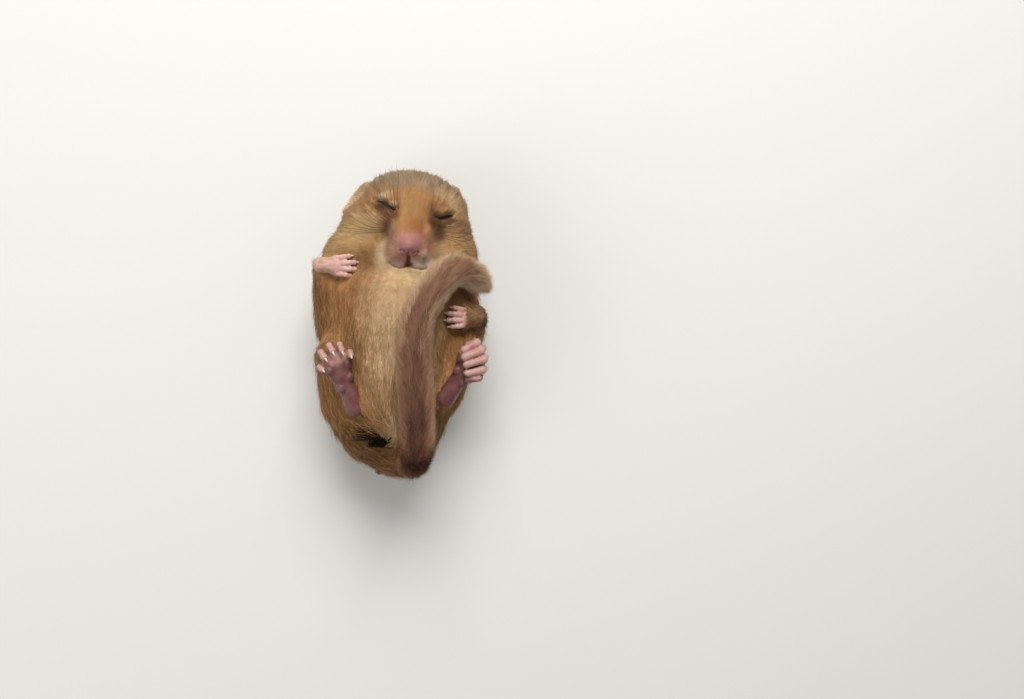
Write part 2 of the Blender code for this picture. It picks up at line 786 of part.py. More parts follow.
def make_hind_foot(name, side, place, toes, radii, body):
    """A bare sole with its pads, and five toes that curl over it."""
    frame = paw_frame(place)
    form = bmesh.new()
    sole = (((0, -0.6, -0.4), 1.9), ((0, 4.0, -0.3), 1.7), ((0.1 * side, 8.2, -0.1), 2.0))
    add_limb(form, sole, frame)
    add_ball(form, (0.2 * side, 9.0, -0.1), (2.9, 2.0, 1.4), frame)
    for x, y, z, size in HIND_PADS:
        add_ball(form, (x * side, y, z), (size, size * 1.1, size * 0.8), frame, detail=3)
    tips = []
    for x, start, spread, length, curls in toes:
        root = (x * side, start, 0)
        tips.append(add_digit(form, frame, root, spread * side, length, curls, radii))
    finish_paw(name, form, tips, frame.to_3x3() @ Vector((0, 0, -1)), body, HIND_FOOT_TRIANGLES)


def make_forepaw(name, side, place, body):
    """A small hand with four fingers, which hang over what it rests on."""
    frame = paw_frame(place)
    form = bmesh.new()
    add_limb(form, (((0, -1.0, 0), 1.55), ((0, 1.6, 0), 1.3)), frame)
    add_ball(form, (0, 2.2, 0), (1.9, 1.5, 1.1), frame)
    for x, y in FORE_PADS:
        add_ball(form, (x * side, y, 0.8), (0.6, 0.65, 0.5), frame, detail=3)
    tips = []
    for x, start, spread, length, curls in FORE_FINGERS:
        root = (x * side, start, 0)
        tips.append(add_digit(form, frame, root, spread * side, length, curls, (0.7, 0.58, 0.54, 0.54)))
    finish_paw(name, form, tips, frame.to_3x3() @ Vector((0, 0, -1)), body, FOREPAW_TRIANGLES)


def finish_paw(name, form, tips, back, body, triangles):
    """Melts a paw, puts its claws on and cuts it clear of the leg."""
    paw = remeshed(object_of(name, form), PAW_GRAIN)
    smoothed(paw, 3)
    slim(paw, triangles)
    form = bmesh.new()
    for tip, way in tips:
        add_claw(form, tip, way, back)
    claws = object_of("claws", form)
    combine(paw, "UNION", claws)
    combine(paw, "DIFFERENCE", body)
    discard(claws)
    keep_largest(paw)


def finish_of(name):
    if name.startswith("tail"):
        return "tail_coat"
    if name.startswith("eyelids"):
        return "eyelid_skin"
    if name == "nose" or "paw" in name or "foot" in name:
        return "pink_skin"
    return "golden_coat"


def deliver():
    """Turns every finished part into metres, names its mesh after it and gives it its finish."""
    for obj in bpy.context.scene.objects:
        obj.data.transform(Matrix.Scale(0.001, 4))
        obj.data.name = obj.name
        colour, roughness = FINISHES[finish_of(obj.name)]
        material = bpy.data.materials.new(obj.name)
        material.use_nodes = True
        shader = material.node_tree.nodes["Principled BSDF"]
        shader.inputs["Base Color"].default_value = (*colour, 1)
        shader.inputs["Roughness"].default_value = roughness
        obj.data.materials.clear()
        obj.data.materials.append(material)


def main():
    for obj in list(bpy.data.objects):
        bpy.data.objects.remove(obj)
    figure = make_figure()
    body = swollen(copy_of(figure, "body"), GAP)
    head = part_figure(figure)
    make_jaw(head)
    make_eyelids(head, figure)
    make_nose(head)
    keep_largest(head)
    make_ears(figure)
    tail = Tail()
    part_tail(tail, make_brush(tail), body)
    for name, side in (("left", -1), ("right", 1)):
        make_hind_foot("hind_foot_" + name, side, HIND_FOOT[name], HIND_TOES[name], TOE_RADII[name], body)
        make_forepaw("forepaw_" + name, side, FOREPAW[name], body)
    discard(figure, body)
    deliver()


main()
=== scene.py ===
import math

import bmesh
import bpy
import numpy as np
from mathutils import Matrix, Vector
from mathutils.bvhtree import BVHTree


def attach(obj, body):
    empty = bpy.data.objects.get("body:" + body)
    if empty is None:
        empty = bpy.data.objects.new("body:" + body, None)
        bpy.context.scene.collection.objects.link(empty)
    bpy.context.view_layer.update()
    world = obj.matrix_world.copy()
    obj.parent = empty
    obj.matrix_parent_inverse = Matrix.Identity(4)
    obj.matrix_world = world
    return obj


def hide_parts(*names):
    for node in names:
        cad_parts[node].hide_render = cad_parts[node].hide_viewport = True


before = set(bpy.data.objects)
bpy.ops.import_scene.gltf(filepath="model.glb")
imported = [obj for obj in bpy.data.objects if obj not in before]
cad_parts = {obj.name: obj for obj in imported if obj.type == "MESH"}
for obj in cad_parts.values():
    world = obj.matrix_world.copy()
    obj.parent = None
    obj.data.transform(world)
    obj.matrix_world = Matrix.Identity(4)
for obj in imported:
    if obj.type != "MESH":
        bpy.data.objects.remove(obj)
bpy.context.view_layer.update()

# The view: straight down on the belly from 19 cm above the floor, as in the photo. The animal lies
# left of the picture's middle, so the camera is turned that much and stands over the body.
PHOTO_WIDTH, PHOTO_HEIGHT = 1024, 699
LENS, SENSOR = 30, 36
FOCAL = PHOTO_WIDTH * LENS / SENSOR
CAMERA_AT = Vector((0, 0, 0.186))
BELOW_CAMERA = (400, 325)


def sight_line(px, py):
    """The camera's own direction to a pixel of the photo."""
    return Vector(((px - PHOTO_WIDTH / 2) / FOCAL, (PHOTO_HEIGHT / 2 - py) / FOCAL, -1)).normalized()


camera_turn = sight_line(*BELOW_CAMERA).rotation_difference(Vector((0, 0, -1)))
camera = bpy.data.objects.new("camera", bpy.data.cameras.new("camera"))
camera.data.lens = LENS
camera.data.sensor_width = SENSOR
camera.data.clip_start = 0.005
camera.rotation_mode = "QUATERNION"
camera.rotation_quaternion = camera_turn
camera.location = CAMERA_AT
bpy.context.scene.collection.objects.link(camera)
bpy.context.scene.camera = camera

# The flesh: one skin from nose to rump and down the limbs, cast from the solids with their seams
# closed, with a thin tail melted on. It is drawn in by the depth of the coat that covers it, least
# on the face.
FLESH = (
    "torso", "neck", "head", "lower_jaw", "nose", "eyelids_left", "eyelids_right",
    "foreleg_left", "foreleg_right", "hind_leg_left", "hind_leg_right",
)
SEAM_FILL = 0.0004
SKIN_GRAIN = 0.00037
COAT_DEPTH = 0.0009
FACE_DEPTH = 0.0003
FACE_ENDS = (0.010, 0.022)
SKIN_ROUNDS = 10
JOIN_ROUNDS = 3
HEAD_AT = Vector((0.0030, 0.0228, 0.0208))
HEAD_PITCH = math.radians(22)
HEAD_ROLL = math.radians(-10.5)
NOSE_TIP = (0, 0.0102, -0.0054)
MUZZLE_REACH = 0.0048
MUZZLE_CORE = 0.45
MUZZLE_ROUNDS = 16
TAIL_ROUTE = (
    (0.0010, -0.0220, 0.0150), (0.0019, -0.0258, 0.0196), (0.0027, -0.0250, 0.0248),
    (0.0030, -0.0212, 0.0278), (0.0029, -0.0137, 0.0294), (0.0026, -0.0064, 0.0300),
    (0.0030, -0.0009, 0.0300), (0.0046, 0.0034, 0.0296), (0.0069, 0.0072, 0.0286),
    (0.0097, 0.0094, 0.0263), (0.0133, 0.0092, 0.0232), (0.0165, 0.0077, 0.0192),
)
TAIL_RADII = (
    0.0024, 0.0028, 0.0032, 0.0033, 0.0033, 0.0032, 0.0032, 0.0032, 0.0032, 0.0031, 0.0027, 0.0009,
)
TAIL_FLESH = 0.42
THINNEST_TAIL = 0.0006
TAIL_STEPS = 6


def select_only(*pieces):
    """Selects these pieces and no others, with the first one active."""
    bpy.ops.object.select_all(action="DESELECT")
    for piece in pieces:
        piece.select_set(True)
    bpy.context.view_layer.objects.active = pieces[0]


def placed(name, mesh):
    """A new piece of the model, the only one selected."""
    piece = bpy.data.objects.new(name, mesh)
    bpy.context.scene.collection.objects.link(piece)
    select_only(piece)
    return piece


def shaped(piece, kind, **settings):
    """One modifier, applied at once."""
    modifier = piece.modifiers.new(kind.title(), kind)
    for name, value in settings.items():
        setattr(modifier, name, value)
    bpy.context.view_layer.objects.active = piece
    bpy.ops.object.modifier_apply(modifier=modifier.name)


def remeshed(piece, grain):
    shaped(piece, "REMESH", mode="VOXEL", voxel_size=grain)


def evened(piece, rounds, **settings):
    shaped(piece, "SMOOTH", factor=0.5, iterations=rounds, **settings)


def joined(pieces):
    """Several pieces as one mesh, the first one's."""
    select_only(*pieces)
    bpy.ops.object.join()
    return pieces[0]


def cast_of(*names):
    """A copy of CAD nodes as one merged mesh."""
    cast = joined([placed(name + "_cast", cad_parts[name].data.copy()) for name in names])
    form = bmesh.new()
    form.from_mesh(cast.data)
    bmesh.ops.remove_doubles(form, verts=form.verts[:], dist=1e-6)
    form.to_mesh(cast.data)
    form.free()
    return cast


def read_all(items, field, width, kind=np.float32):
    """One field of every item, as rows of width numbers."""
    values = np.empty(len(items) * width, kind)
    items.foreach_get(field, values)
    return values.reshape(-1, width)


def coordinates(mesh):
    return read_all(mesh.vertices, "co", 3).astype(float)


def vertex_normals(mesh):
    return read_all(mesh.vertex_normals, "vector", 3).astype(float)


def move_vertices(mesh, places):
    mesh.vertices.foreach_set("co", places.astype(np.float32).ravel())
    mesh.update()


def keep_numbers(mesh, **numbers):
    """Numbers kept per point of a mesh, which its material reads."""
    for label, values in numbers.items():
        mesh.attributes.new(label, "FLOAT", "POINT").data.foreach_set("value", values.astype(np.float32))


def shade_smooth(mesh):
    mesh.polygons.foreach_set("use_smooth", np.ones(len(mesh.polygons), bool))


def ease(low, high, values):
    """0 up to low, 1 from high on, and a soft step between them."""
    t = np.clip((values - low) / (high - low), 0, 1)
    return t * t * (3 - 2 * t)


def distance(places, point):
    return np.linalg.norm(places - np.array(point), axis=1)


def fading(gap, reach):
    """1 at no gap, fading out within about twice the reach."""
    return np.exp(-(gap / reach) ** 2)


def route_through(points, per_point):
    """A smooth line through the points."""
    points = [Vector(p) for p in points]
    line = []
    for i in range(len(points) - 1):
        p0, p1 = points[max(i - 1, 0)], points[i]
        p2, p3 = points[i + 1], points[min(i + 2, len(points) - 1)]
        for step in range(per_point):
            t = step / per_point
            bend = 2 * p1 + (p2 - p0) * t + (2 * p0 - 5 * p1 + 4 * p2 - p3) * t * t
            line.append(0.5 * (bend + (3 * p1 - p0 - 3 * p2 + p3) * t ** 3))
    return line + [points[-1]]


def to_line(places, line):
    """Distance of each place to a line of points, and how far along the line its foot is."""
    best = np.full(len(places), 1e9)
    foot = np.zeros(len(places))
    for i, (a, b) in enumerate(zip(line, line[1:])):
        a, b = np.array(a), np.array(b)
        t = np.clip((places - a) @ (b - a) / max((b - a) @ (b - a), 1e-18), 0, 1)
        gap = np.linalg.norm(places - a - t[:, None] * (b - a), axis=1)
        nearer = gap < best
        best = np.where(nearer, gap, best)
        foot = np.where(nearer, (i + t) / (len(line) - 1), foot)
    return best, foot


head_nod = Matrix((
    (-1, 0, 0),
    (0, -math.sin(HEAD_PITCH), math.cos(HEAD_PITCH)),
    (0, math.cos(HEAD_PITCH), math.sin(HEAD_PITCH)),
)).to_4x4()
head_place = Matrix.Translation(HEAD_AT) @ Matrix.Rotation(HEAD_ROLL, 4, "Z") @ head_nod
nose_tip = np.array(head_place @ Vector(NOSE_TIP))

skin = cast_of(*FLESH)
shaped(skin, "DISPLACE", strength=SEAM_FILL, mid_level=0)
remeshed(skin, SKIN_GRAIN)
shaped(skin, "DISPLACE", strength=-SEAM_FILL, mid_level=0)
remeshed(skin, SKIN_GRAIN)
evened(skin, SKIN_ROUNDS)
places = coordinates(skin.data)
depth = FACE_DEPTH + (COAT_DEPTH - FACE_DEPTH) * ease(*FACE_ENDS, distance(places, nose_tip))
move_vertices(skin.data, places - vertex_normals(skin.data) * depth[:, None])

tail_line = route_through(TAIL_ROUTE, TAIL_STEPS)
tail_radius = [r.x for r in route_through([(r, 0, 0) for r in TAIL_RADII], TAIL_STEPS)]
tail_form = bmesh.new()
for point, radius in zip(tail_line, tail_radius):
    flesh_radius = max(radius * TAIL_FLESH, THINNEST_TAIL)
    at_point = Matrix.Translation(point)
    bmesh.ops.create_icosphere(tail_form, subdivisions=3, radius=flesh_radius, matrix=at_point)
tail_mesh = bpy.data.meshes.new("tail_flesh")
tail_form.to_mesh(tail_mesh)
tail_form.free()
skin = joined([skin, placed("tail_flesh", tail_mesh)])
skin.name = skin.data.name = "skin"
remeshed(skin, SKIN_GRAIN)
evened(skin, JOIN_ROUNDS)
muzzle = skin.vertex_groups.new(name="muzzle")
from_nose = distance(coordinates(skin.data), nose_tip)
for number in np.flatnonzero(from_nose < MUZZLE_REACH).tolist():
    share = 1 - float(ease(MUZZLE_CORE * MUZZLE_REACH, MUZZLE_REACH, from_nose[number]))
    muzzle.add([number], share, "REPLACE")
evened(skin, MUZZLE_ROUNDS, vertex_group="muzzle")

# The face in the skin: folds of the shut lids, the bare pad of the nose with its two nostrils, the
# cleft below it and the line of the mouth, each placed by the photo's pixels and pressed in.
EYE_SLITS = {
    "right": ((375.5, 200.5), (380, 201.5), (385, 203.5), (390, 207), (395, 210.5)),
    "left": ((434.5, 217), (440, 218), (445, 217), (449.5, 215.8), (453.5, 215.2)),
}
CLEFT = ((409, 253.5), (408.7, 258), (408.5, 262), (408.5, 266.5))
MOUTH = ((389.5, 263.5), (394, 266.6), (401, 268.4), (408.5, 267.2), (416, 268.6), (424, 269.4), (430, 268))
LINE_STEPS = 6
FACE_REACH = 0.0085
FINER_WITHIN = (0.62, 0.5)
LID_GROOVE = (0.00036, 0.00055)
LID_FOLD_AT = 0.0009
LID_FOLD = (0.0005, 0.00030)
CLEFT_GROOVE = (0.00036, 0.0004)
MOUTH_GROOVE = (0.00030, 0.0004)
NOSE_PAD = (0.0022, 0.0018)
NOSE_SEEN_AT = (409.5, 247)
NOSE_PAD_DEPTH = 0.0080
NOSE_BULGE = (0.0022, 0.00012)
NOSTRILS = (
    ((400.4, 250.8), (401.6, 249.6), (403.6, 250.2), (404.6, 251.4)),
    ((414.4, 252.8), (415.6, 251.8), (417.6, 251.8), (418.8, 252.8)),
)
NOSTRIL_GROOVE = (0.00018, 0.00013)
NOSTRIL_RIM_AT = 0.00040
NOSTRIL_RIM = (0.00022, 0.00003)
NOSTRIL_SHADE_REACH = 0.00020
PAD_EDGE = (0.7, 1.2)


def surface_of(piece):
    return BVHTree.FromObject(piece, bpy.context.evaluated_depsgraph_get())


def seen(surface, px, py):
    """Where the photo's pixel falls on a surface, and the surface's normal there."""
    place, normal, _, _ = surface.ray_cast(CAMERA_AT, camera_turn @ sight_line(px, py))
    return (place, normal) if place else (None, None)


def line_seen(surface, pixels):
    marks = route_through([(px, py, 0) for px, py in pixels], LINE_STEPS)
    places = (seen(surface, mark.x, mark.y)[0] for mark in marks)
    return [place for place in places if place]


bare_skin = surface_of(skin)
slit_lines = {side: line_seen(bare_skin, slit) for side, slit in EYE_SLITS.items()}
cleft_line = line_seen(bare_skin, CLEFT)
mouth_line = line_seen(bare_skin, MOUTH)
slit_middles = [line[len(line) // 2] for line in slit_lines.values()]
face_marks = [Vector(nose_tip), *slit_middles, mouth_line[2 * LINE_STEPS]]

for share in FINER_WITHIN:
    form = bmesh.new()
    form.from_mesh(skin.data)
    reach = FACE_REACH * share
    near = [
        edge for edge in form.edges
        if min((edge.verts[0].co - mark).length for mark in face_marks) < reach
    ]
    bmesh.ops.subdivide_edges(form, edges=near, cuts=1, use_grid_fill=True)
    bmesh.ops.triangulate(form, faces=[face for face in form.faces if len(face.verts) > 4])
    form.to_mesh(skin.data)
    form.free()

places, normals = coordinates(skin.data), vertex_normals(skin.data)
shift = np.zeros(len(places))


def welt(gap, width, height):
    """How far a soft line of this width stands out of the skin."""
    return height * fading(gap, width)


for line in slit_lines.values():
    gap, along = to_line(places, line)
    taper = np.sin(np.pi * np.clip(along, 0.02, 0.98)) ** 0.5
    shift += welt(gap - LID_FOLD_AT, *LID_FOLD)
    shift -= welt(gap, *LID_GROOVE) * taper
for line, groove in ((cleft_line, CLEFT_GROOVE), (mouth_line, MOUTH_GROOVE)):
    shift -= welt(to_line(places, line)[0], *groove)
nose_at = np.array(seen(bare_skin, *NOSE_SEEN_AT)[0])
shift += welt(distance(places, nose_at), *NOSE_BULGE)
# painted shade in the nostrils: how near each point lies to a nostril's groove
pit = np.zeros(len(places))
for pixels in NOSTRILS:
    gap = to_line(places, line_seen(bare_skin, pixels))[0]
    shift -= welt(gap, *NOSTRIL_GROOVE)
    shift += welt(gap - NOSTRIL_RIM_AT, *NOSTRIL_RIM)
    pit = np.maximum(pit, fading(gap, NOSTRIL_SHADE_REACH))


def beyond_pad(places):
    """Distance from the middle of the nose's bare pad, as a share of the pad's own half size."""
    off = (places - nose_at) @ np.array(head_place.to_3x3())
    share = np.hypot(off[:, 0] / NOSE_PAD[0], off[:, 2] / NOSE_PAD[1])
    return np.where(np.linalg.norm(off, axis=1) < NOSE_PAD_DEPTH, share, 9)


keep_numbers(skin.data, pit=pit, bare=1 - ease(*PAD_EDGE, beyond_pad(places)))
move_vertices(skin.data, places + normals * shift[:, None])
shade_smooth(skin.data)


def unwrapped(piece):
    """Gives a piece its own unwrap, the map that its colours are baked on."""
    select_only(piece)
    bpy.ops.object.mode_set(mode="EDIT")
    bpy.ops.mesh.select_all(action="SELECT")
    bpy.ops.uv.smart_project(angle_limit=math.radians(70), island_margin=0.002)
    bpy.ops.object.mode_set(mode="OBJECT")
    piece.data.uv_layers[0].name = "OFBake"


unwrapped(skin)
face_skin = surface_of(skin)


# Colours of the coat: golden brown all over, paler below, greyer on the crown, with dark marks
# beside the muzzle. A few marks are painted shade or painted light, as noted at their rows. The
# skin and every coat piece mix them in the same way.
class Value:
    """A number in a material. Sums with it add Math nodes to the same tree."""

    def __init__(self, paint, socket):
        self.paint, self.socket = paint, socket

    def sum(self, operation, first, second):
        return self.paint.value("ShaderNodeMath", {"operation": operation}, {0: first, 1: second})

    def __add__(self, other):
        return self.sum("ADD", self, other)

    def __radd__(self, other):
        return self.sum("ADD", other, self)

    def __sub__(self, other):
        return self.sum("SUBTRACT", self, other)

    def __rsub__(self, other):
        return self.sum("SUBTRACT", other, self)

    def __mul__(self, other):
        return self.sum("MULTIPLY", self, other)

    def __rmul__(self, other):
        return self.sum("MULTIPLY", other, self)

    def __pow__(self, other):
        return self.sum("POWER", self, other)


class Paint:
    """A material as it is mixed: its shader, and the ways that nodes are added to it."""

    def __init__(self, name, **constants):
        self.material = bpy.data.materials.new(name)
        self.material.use_nodes = True
        self.tree = self.material.node_tree
        self.shader = self.tree.nodes["Principled BSDF"]
        for socket, constant in constants.items():
            self.shader.inputs[socket.replace("_", " ")].default_value = constant

    def value(self, kind, settings=None, sockets=None, output=0):
        """Adds a node: its settings first, then the values or links of its sockets."""
        node = self.tree.nodes.new(kind)
        for name, setting in (settings or {}).items():
            if name == "stops":
                for number, (position, colour) in enumerate(setting):
                    stops = node.color_ramp.elements
                    stop = stops[number] if number < len(stops) else stops.new(position)
                    stop.position, stop.color = position, (*colour, 1)
            else:
                setattr(node, name, setting)
        for socket, source in (sockets or {}).items():
            self.feed(node.inputs[socket], source)
        return Value(self, node.outputs[output])

    def feed(self, socket, source):
        if isinstance(source, Value):
            self.tree.links.new(source.socket, socket)
        elif socket.type == "RGBA" and len(source) == 3:
            socket.default_value = (*source, 1)
        else:
            socket.default_value = source

    def attribute(self, label):
        """A number that the mesh keeps per point."""
        return self.value("ShaderNodeAttribute", {"attribute_name": label}, output="Fac")

    def noise(self, scale, detail):
        where = self.value("ShaderNodeTexCoord", output="Object")
        return self.value("ShaderNodeTexNoise", {}, {"Vector": where, "Scale": scale, "Detail": detail})

    def bump(self, height, depth):
        return self.value("ShaderNodeBump", {}, {"Height": height, "Distance": depth, "Strength": 0.5})

    def mixed(self, share, first, second, blend="MIX"):
        settings = {"data_type": "RGBA", "blend_type": blend}
        return self.value("ShaderNodeMix", settings, {0: share, 6: first, 7: second}, output=2)

    def coat(self, piece, **sockets):
        """Feeds the shader and puts the material on a piece."""
        for socket, source in sockets.items():
            self.feed(self.shader.inputs[socket.replace("_", " ")], source)
        piece.data.materials.clear()
        piece.data.materials.append(self.material)
        return piece


def tone(red, green, blue):
    """A colour as a screen shows it, turned into the amounts of light a material takes."""
    return tuple(((c / 255 + 0.055) / 1.055) ** 2.4 if c > 10 else c / 3294.6 for c in (red, green, blue))


def spot(px, py):
    """The place on the skin under the photo's pixel."""
    return tuple(seen(face_skin, px, py)[0])


GOLD = (172, 124, 78)
EAR_TONE = (222, 184, 144)
MATTED_PIXEL = (379, 440.5)
RAGGED_BY = 0.9
MARKINGS = {
    # middle as a pixel of the photo or a place in millimetres, radii in millimetres, full within and
    # gone at shares of the radii, colour
    "belly": ((0, -2, 28), (9, 20, 8), 0.3, 1.35, (206, 172, 132)),
    "chest": ((2, 12, 22), (8, 5, 6), 0.3, 1.3, (216, 188, 144)),
    "back": ((0, 0, 0), (20, 40, 8), 0.4, 1.2, (164, 108, 62)),
    # the rump: darker brown, painted shade where it lies in shadow
    "rump": ((0, -24, 16), (16, 8, 12), 0.3, 1.4, (130, 94, 60)),
    # the tail's root: lighter, painted light where it lies in the tail's own shadow
    "tail's root": ((2, -27, 19), (5, 4, 7), 0.4, 1.4, (168, 120, 82)),
    "crown, right": ((399, 176), (12, 3, 6), 0.1, 1.6, (152, 130, 104)),
    "crown, left": ((442, 184), (10, 4, 6), 0.1, 1.6, (150, 126, 100)),
    # right cheek: darker, painted shade that tones down the light on the cheek's ridge
    "right cheek": ((345, 240), (8, 6, 7), 0.2, 1.3, (186, 152, 106)),
    "right cheek's top": ((362, 223), (4, 3, 4), 0.1, 1.5, (208, 172, 124)),
    "right cheek's foot": ((340, 262), (6, 4, 7), 0.2, 1.3, (190, 148, 96)),
    "right jowl": ((372, 258), (4, 3, 6), 0.2, 1.4, (122, 86, 50)),
    "left cheek": ((460, 252), (5, 6, 6), 0.2, 1.3, (200, 158, 110)),
    "left cheek's top": ((464, 224), (3.0, 3.6, 4), 0.2, 1.4, (152, 112, 80)),
    # left wrist: darker, painted shade where the wrist lies in shadow
    "left wrist": ((479, 310), (3.4, 5.0, 5), 0.3, 1.4, (146, 108, 75)),
    "brow": ((416, 205), (4, 6, 5), 0.2, 1.3, (168, 124, 76)),
    "over the left eye": ((452, 203), (4.6, 2.8, 3.6), 0.1, 1.5, (198, 162, 118)),
    "bridge": ((417, 228), (2.8, 2.2, 3), 0.1, 1.6, (158, 100, 52)),
    "beside the right lip": ((385, 254), (2.2, 2.8, 3), 0.2, 1.5, (208, 180, 144)),
    "beside the left lip": ((436, 254), (2.4, 2.6, 3), 0.2, 1.5, (190, 154, 114)),
    "nose": ((410, 249), (5.2, 3.7, 7.0), 0.25, 1.3, (164, 108, 101)),
    "muzzle's right side": ((391.5, 243), (1.0, 3.0, 3.0), 0.1, 1.8, (164, 118, 98)),
    # the muzzle's left side and both its lower edges: lighter, painted light in the shade of the muzzle's
    # sides and under the tail
    "muzzle's left side": ((428.5, 246), (1.0, 3.0, 3.0), 0.1, 1.8, (220, 158, 124)),
    "muzzle's right edge": ((391, 254.5), (1.4, 1.8, 3.0), 0.2, 1.5, (208, 162, 136)),
    "muzzle's left edge": ((426, 256), (1.3, 1.1, 3.0), 0.2, 1.5, (253, 216, 188)),
    "right lip": ((399, 262), (2.4, 1.0, 3), 0.3, 1.4, (176, 140, 130)),
    # left lip: nearly white, painted light where the tail's shadow falls
    "left lip": ((422, 263.5), (2.4, 1.1, 3), 0.3, 1.5, (252, 228, 216)),
    "cleft's top": ((408.6, 259), (0.5, 1.1, 1.6), 0.4, 1.4, (122, 66, 56)),
    "cleft's foot": ((408.6, 264.5), (1.0, 0.7, 1.6), 0.4, 1.4, (112, 58, 48)),
    "right whisker bed": ((387, 225), (1.0, 1.7, 1.6), 0.1, 1.9, (122, 80, 56)),
    "right eye's inner end": ((396, 210), (0.9, 1.8, 1.6), 0.1, 1.8, (130, 88, 58)),
    "left whisker bed": ((439, 232), (1.0, 1.8, 1.6), 0.1, 1.9, (130, 90, 62)),
    "left eye's inner end": ((432, 216), (0.8, 2.2, 1.6), 0.1, 1.8, (122, 80, 52)),
    "right lid": ((385, 205), (2.6, 1.0, 1.6), 0.2, 1.5, (124, 84, 58)),
    "left lid": ((445, 217), (2.6, 0.9, 1.6), 0.2, 1.5, (124, 84, 58)),
    "beside the bridge": ((427.5, 232), (0.9, 1.6, 1.6), 0.2, 1.5, (212, 154, 110)),
    # below the left lid: lighter, painted light in the shadow of the lid's fold
    "below the left lid": ((447, 223), (2.0, 0.6, 1.4), 0.3, 1.5, (206, 168, 126)),
    "over the right eye": ((383, 195), (2.2, 1.0, 2.0), 0.2, 1.5, (196, 172, 136)),
    "right lid's pale end": ((392, 203.5), (0.9, 0.5, 1.0), 0.1, 1.8, (204, 174, 134)),
    "right ear's root": ((-8.6, 25.5, 8.5), (4.6, 4.6, 4.6), 0.6, 1.3, EAR_TONE),
    "left ear's root": ((12.0, 24.3, 8.2), (3.6, 4.6, 4.6), 0.6, 1.3, EAR_TONE),
    "rump beside the tail": ((393, 426), (2.0, 4.4, 4.0), 0.3, 1.4, (202, 166, 124)),
    "fleck on the rump": ((391, 448), (0.5, 0.4, 1.0), 0.3, 1.4, (92, 46, 28)),
    "matted spot": (MATTED_PIXEL, (1.3, 0.7, 2.0), 0.4, 1.3, (26, 19, 14)),
}


def marked_colour(paint):
    """The coat's colour at a point: each marking laid over the gold, with a ragged edge."""
    where = paint.value("ShaderNodeTexCoord", output="Object")
    ragged = paint.noise(scale=900.0, detail=2.0)
    colour = tone(*GOLD)
    for at, radii, full, gone, shade in MARKINGS.values():
        middle = spot(*at) if len(at) == 2 else [side / 1000 for side in at]
        radii = [radius / 1000 for radius in radii]
        off = paint.value("ShaderNodeVectorMath", {"operation": "SUBTRACT"}, {0: where, 1: middle})
        near = paint.value("ShaderNodeVectorMath", {"operation": "DIVIDE"}, {0: off, 1: radii})
        far = paint.value("ShaderNodeVectorMath", {"operation": "LENGTH"}, {0: near}, output="Value")
        edge = far + (ragged - 0.5) * RAGGED_BY
        share = paint.value(
            "ShaderNodeMapRange", {"interpolation_type": "SMOOTHSTEP"},
            {"Value": edge, "From Min": full, "From Max": gone, "To Min": 1.0, "To Max": 0.0},
        )
        colour = paint.mixed(share, colour, tone(*shade))
    return colour


flesh = Paint("warm_skin", Specular_IOR_Level=0.3)
grain = flesh.noise(scale=2600.0, detail=3.0)
pores = flesh.bump(grain, depth=0.0001)
bare, pit = flesh.attribute("bare"), flesh.attribute("pit")
colour = flesh.mixed(0.12, marked_colour(flesh), tone(120, 80, 58))
colour = flesh.mixed(bare * 0.8, colour, flesh.mixed(grain, tone(142, 95, 92), tone(162, 113, 108)))
# painted shade darkening the skin in the nostrils
colour = flesh.mixed(pit * 0.42, colour, tone(92, 50, 46))
flesh.coat(skin, Base_Color=colour, Roughness=0.65 - 0.1 * bare, Normal=pores)
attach(skin, "root")
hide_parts(*FLESH, "tail_base", "tail_middle", "tail_end", "tail_tip")

# The coat: fine tufts that lie back from the nose over the head, along the trunk to the tail and
# down each limb. Short straight underfur covers the skin, and longer guard hair lies over it. It
# is shortest on the face and beside the paws.
UNDERFUR = dict(count=176000, width=0.00019, long=0.0026, lift=0.20, bent=False)
GUARD_HAIR = dict(count=33000, width=0.00017, long=0.0036, lift=0.24, bent=True)
PIECE_TRIANGLES = 180000
NECK_AT = Vector((0, 0.0172, 0.0146))
NECK_WAY = Vector((0, 0.80, 0.60))
LIE = (
    # middle, reach, way the hair lies
    ((-0.013, -0.018, 0.011), 0.007, (2.4, 0.4, 0.6)),
    ((-0.008, -0.019, 0.016), 0.006, (2.4, 0.4, 0.2)),
    ((-0.009, -0.026, 0.011), 0.006, (2.4, 0.6, 0.3)),
    ((0.013, -0.019, 0.011), 0.006, (-1.6, 0.1, 0.4)),
    ((0.009, -0.026, 0.011), 0.006, (-1.6, 0.4, 0.3)),
    ((0.008, -0.022, 0.015), 0.006, (-0.6, -0.8, 0.3)),
    ((0.002, -0.027, 0.018), 0.005, (0, -0.2, 2.0)),
    ((-0.0125, -0.003, 0.018), 0.004, (0, -0.8, 0.6)),
    ((0.0125, -0.003, 0.018), 0.004, (0, -0.8, 0.6)),
    ((-0.009, -0.011, 0.0225), 0.004, (0.1, -1.2, 0)),
    ((0.009, -0.011, 0.0225), 0.004, (-0.1, -1.2, 0)),
)
LIE_PULL = 2.2
HEAD_LIE_FROM = (-0.006, 0.003)
MATTED_AT = np.array(spot(*MATTED_PIXEL))
MATTED_GATHERS = (2.4, 0.0028)
PAW_MIDDLES = (
    (-0.012, 0.0112, 0.0215), (0.0118, 0.0014, 0.024), (0.0123, -0.008, 0.026), (-0.0118, -0.009, 0.026),
)
FACE_HAIR = 0.00045
STRAY_SHARE = 0.3
# how far from the nose the hair has grown to its full length, width, lift and contrast
LENGTH_GROWS = (0.002, 0.026)
WIDTH_GROWS = (0.004, 0.022)
LIFT_GROWS = (0.006, 0.020)
CONTRAST_GROWS = (0.006, 0.022)
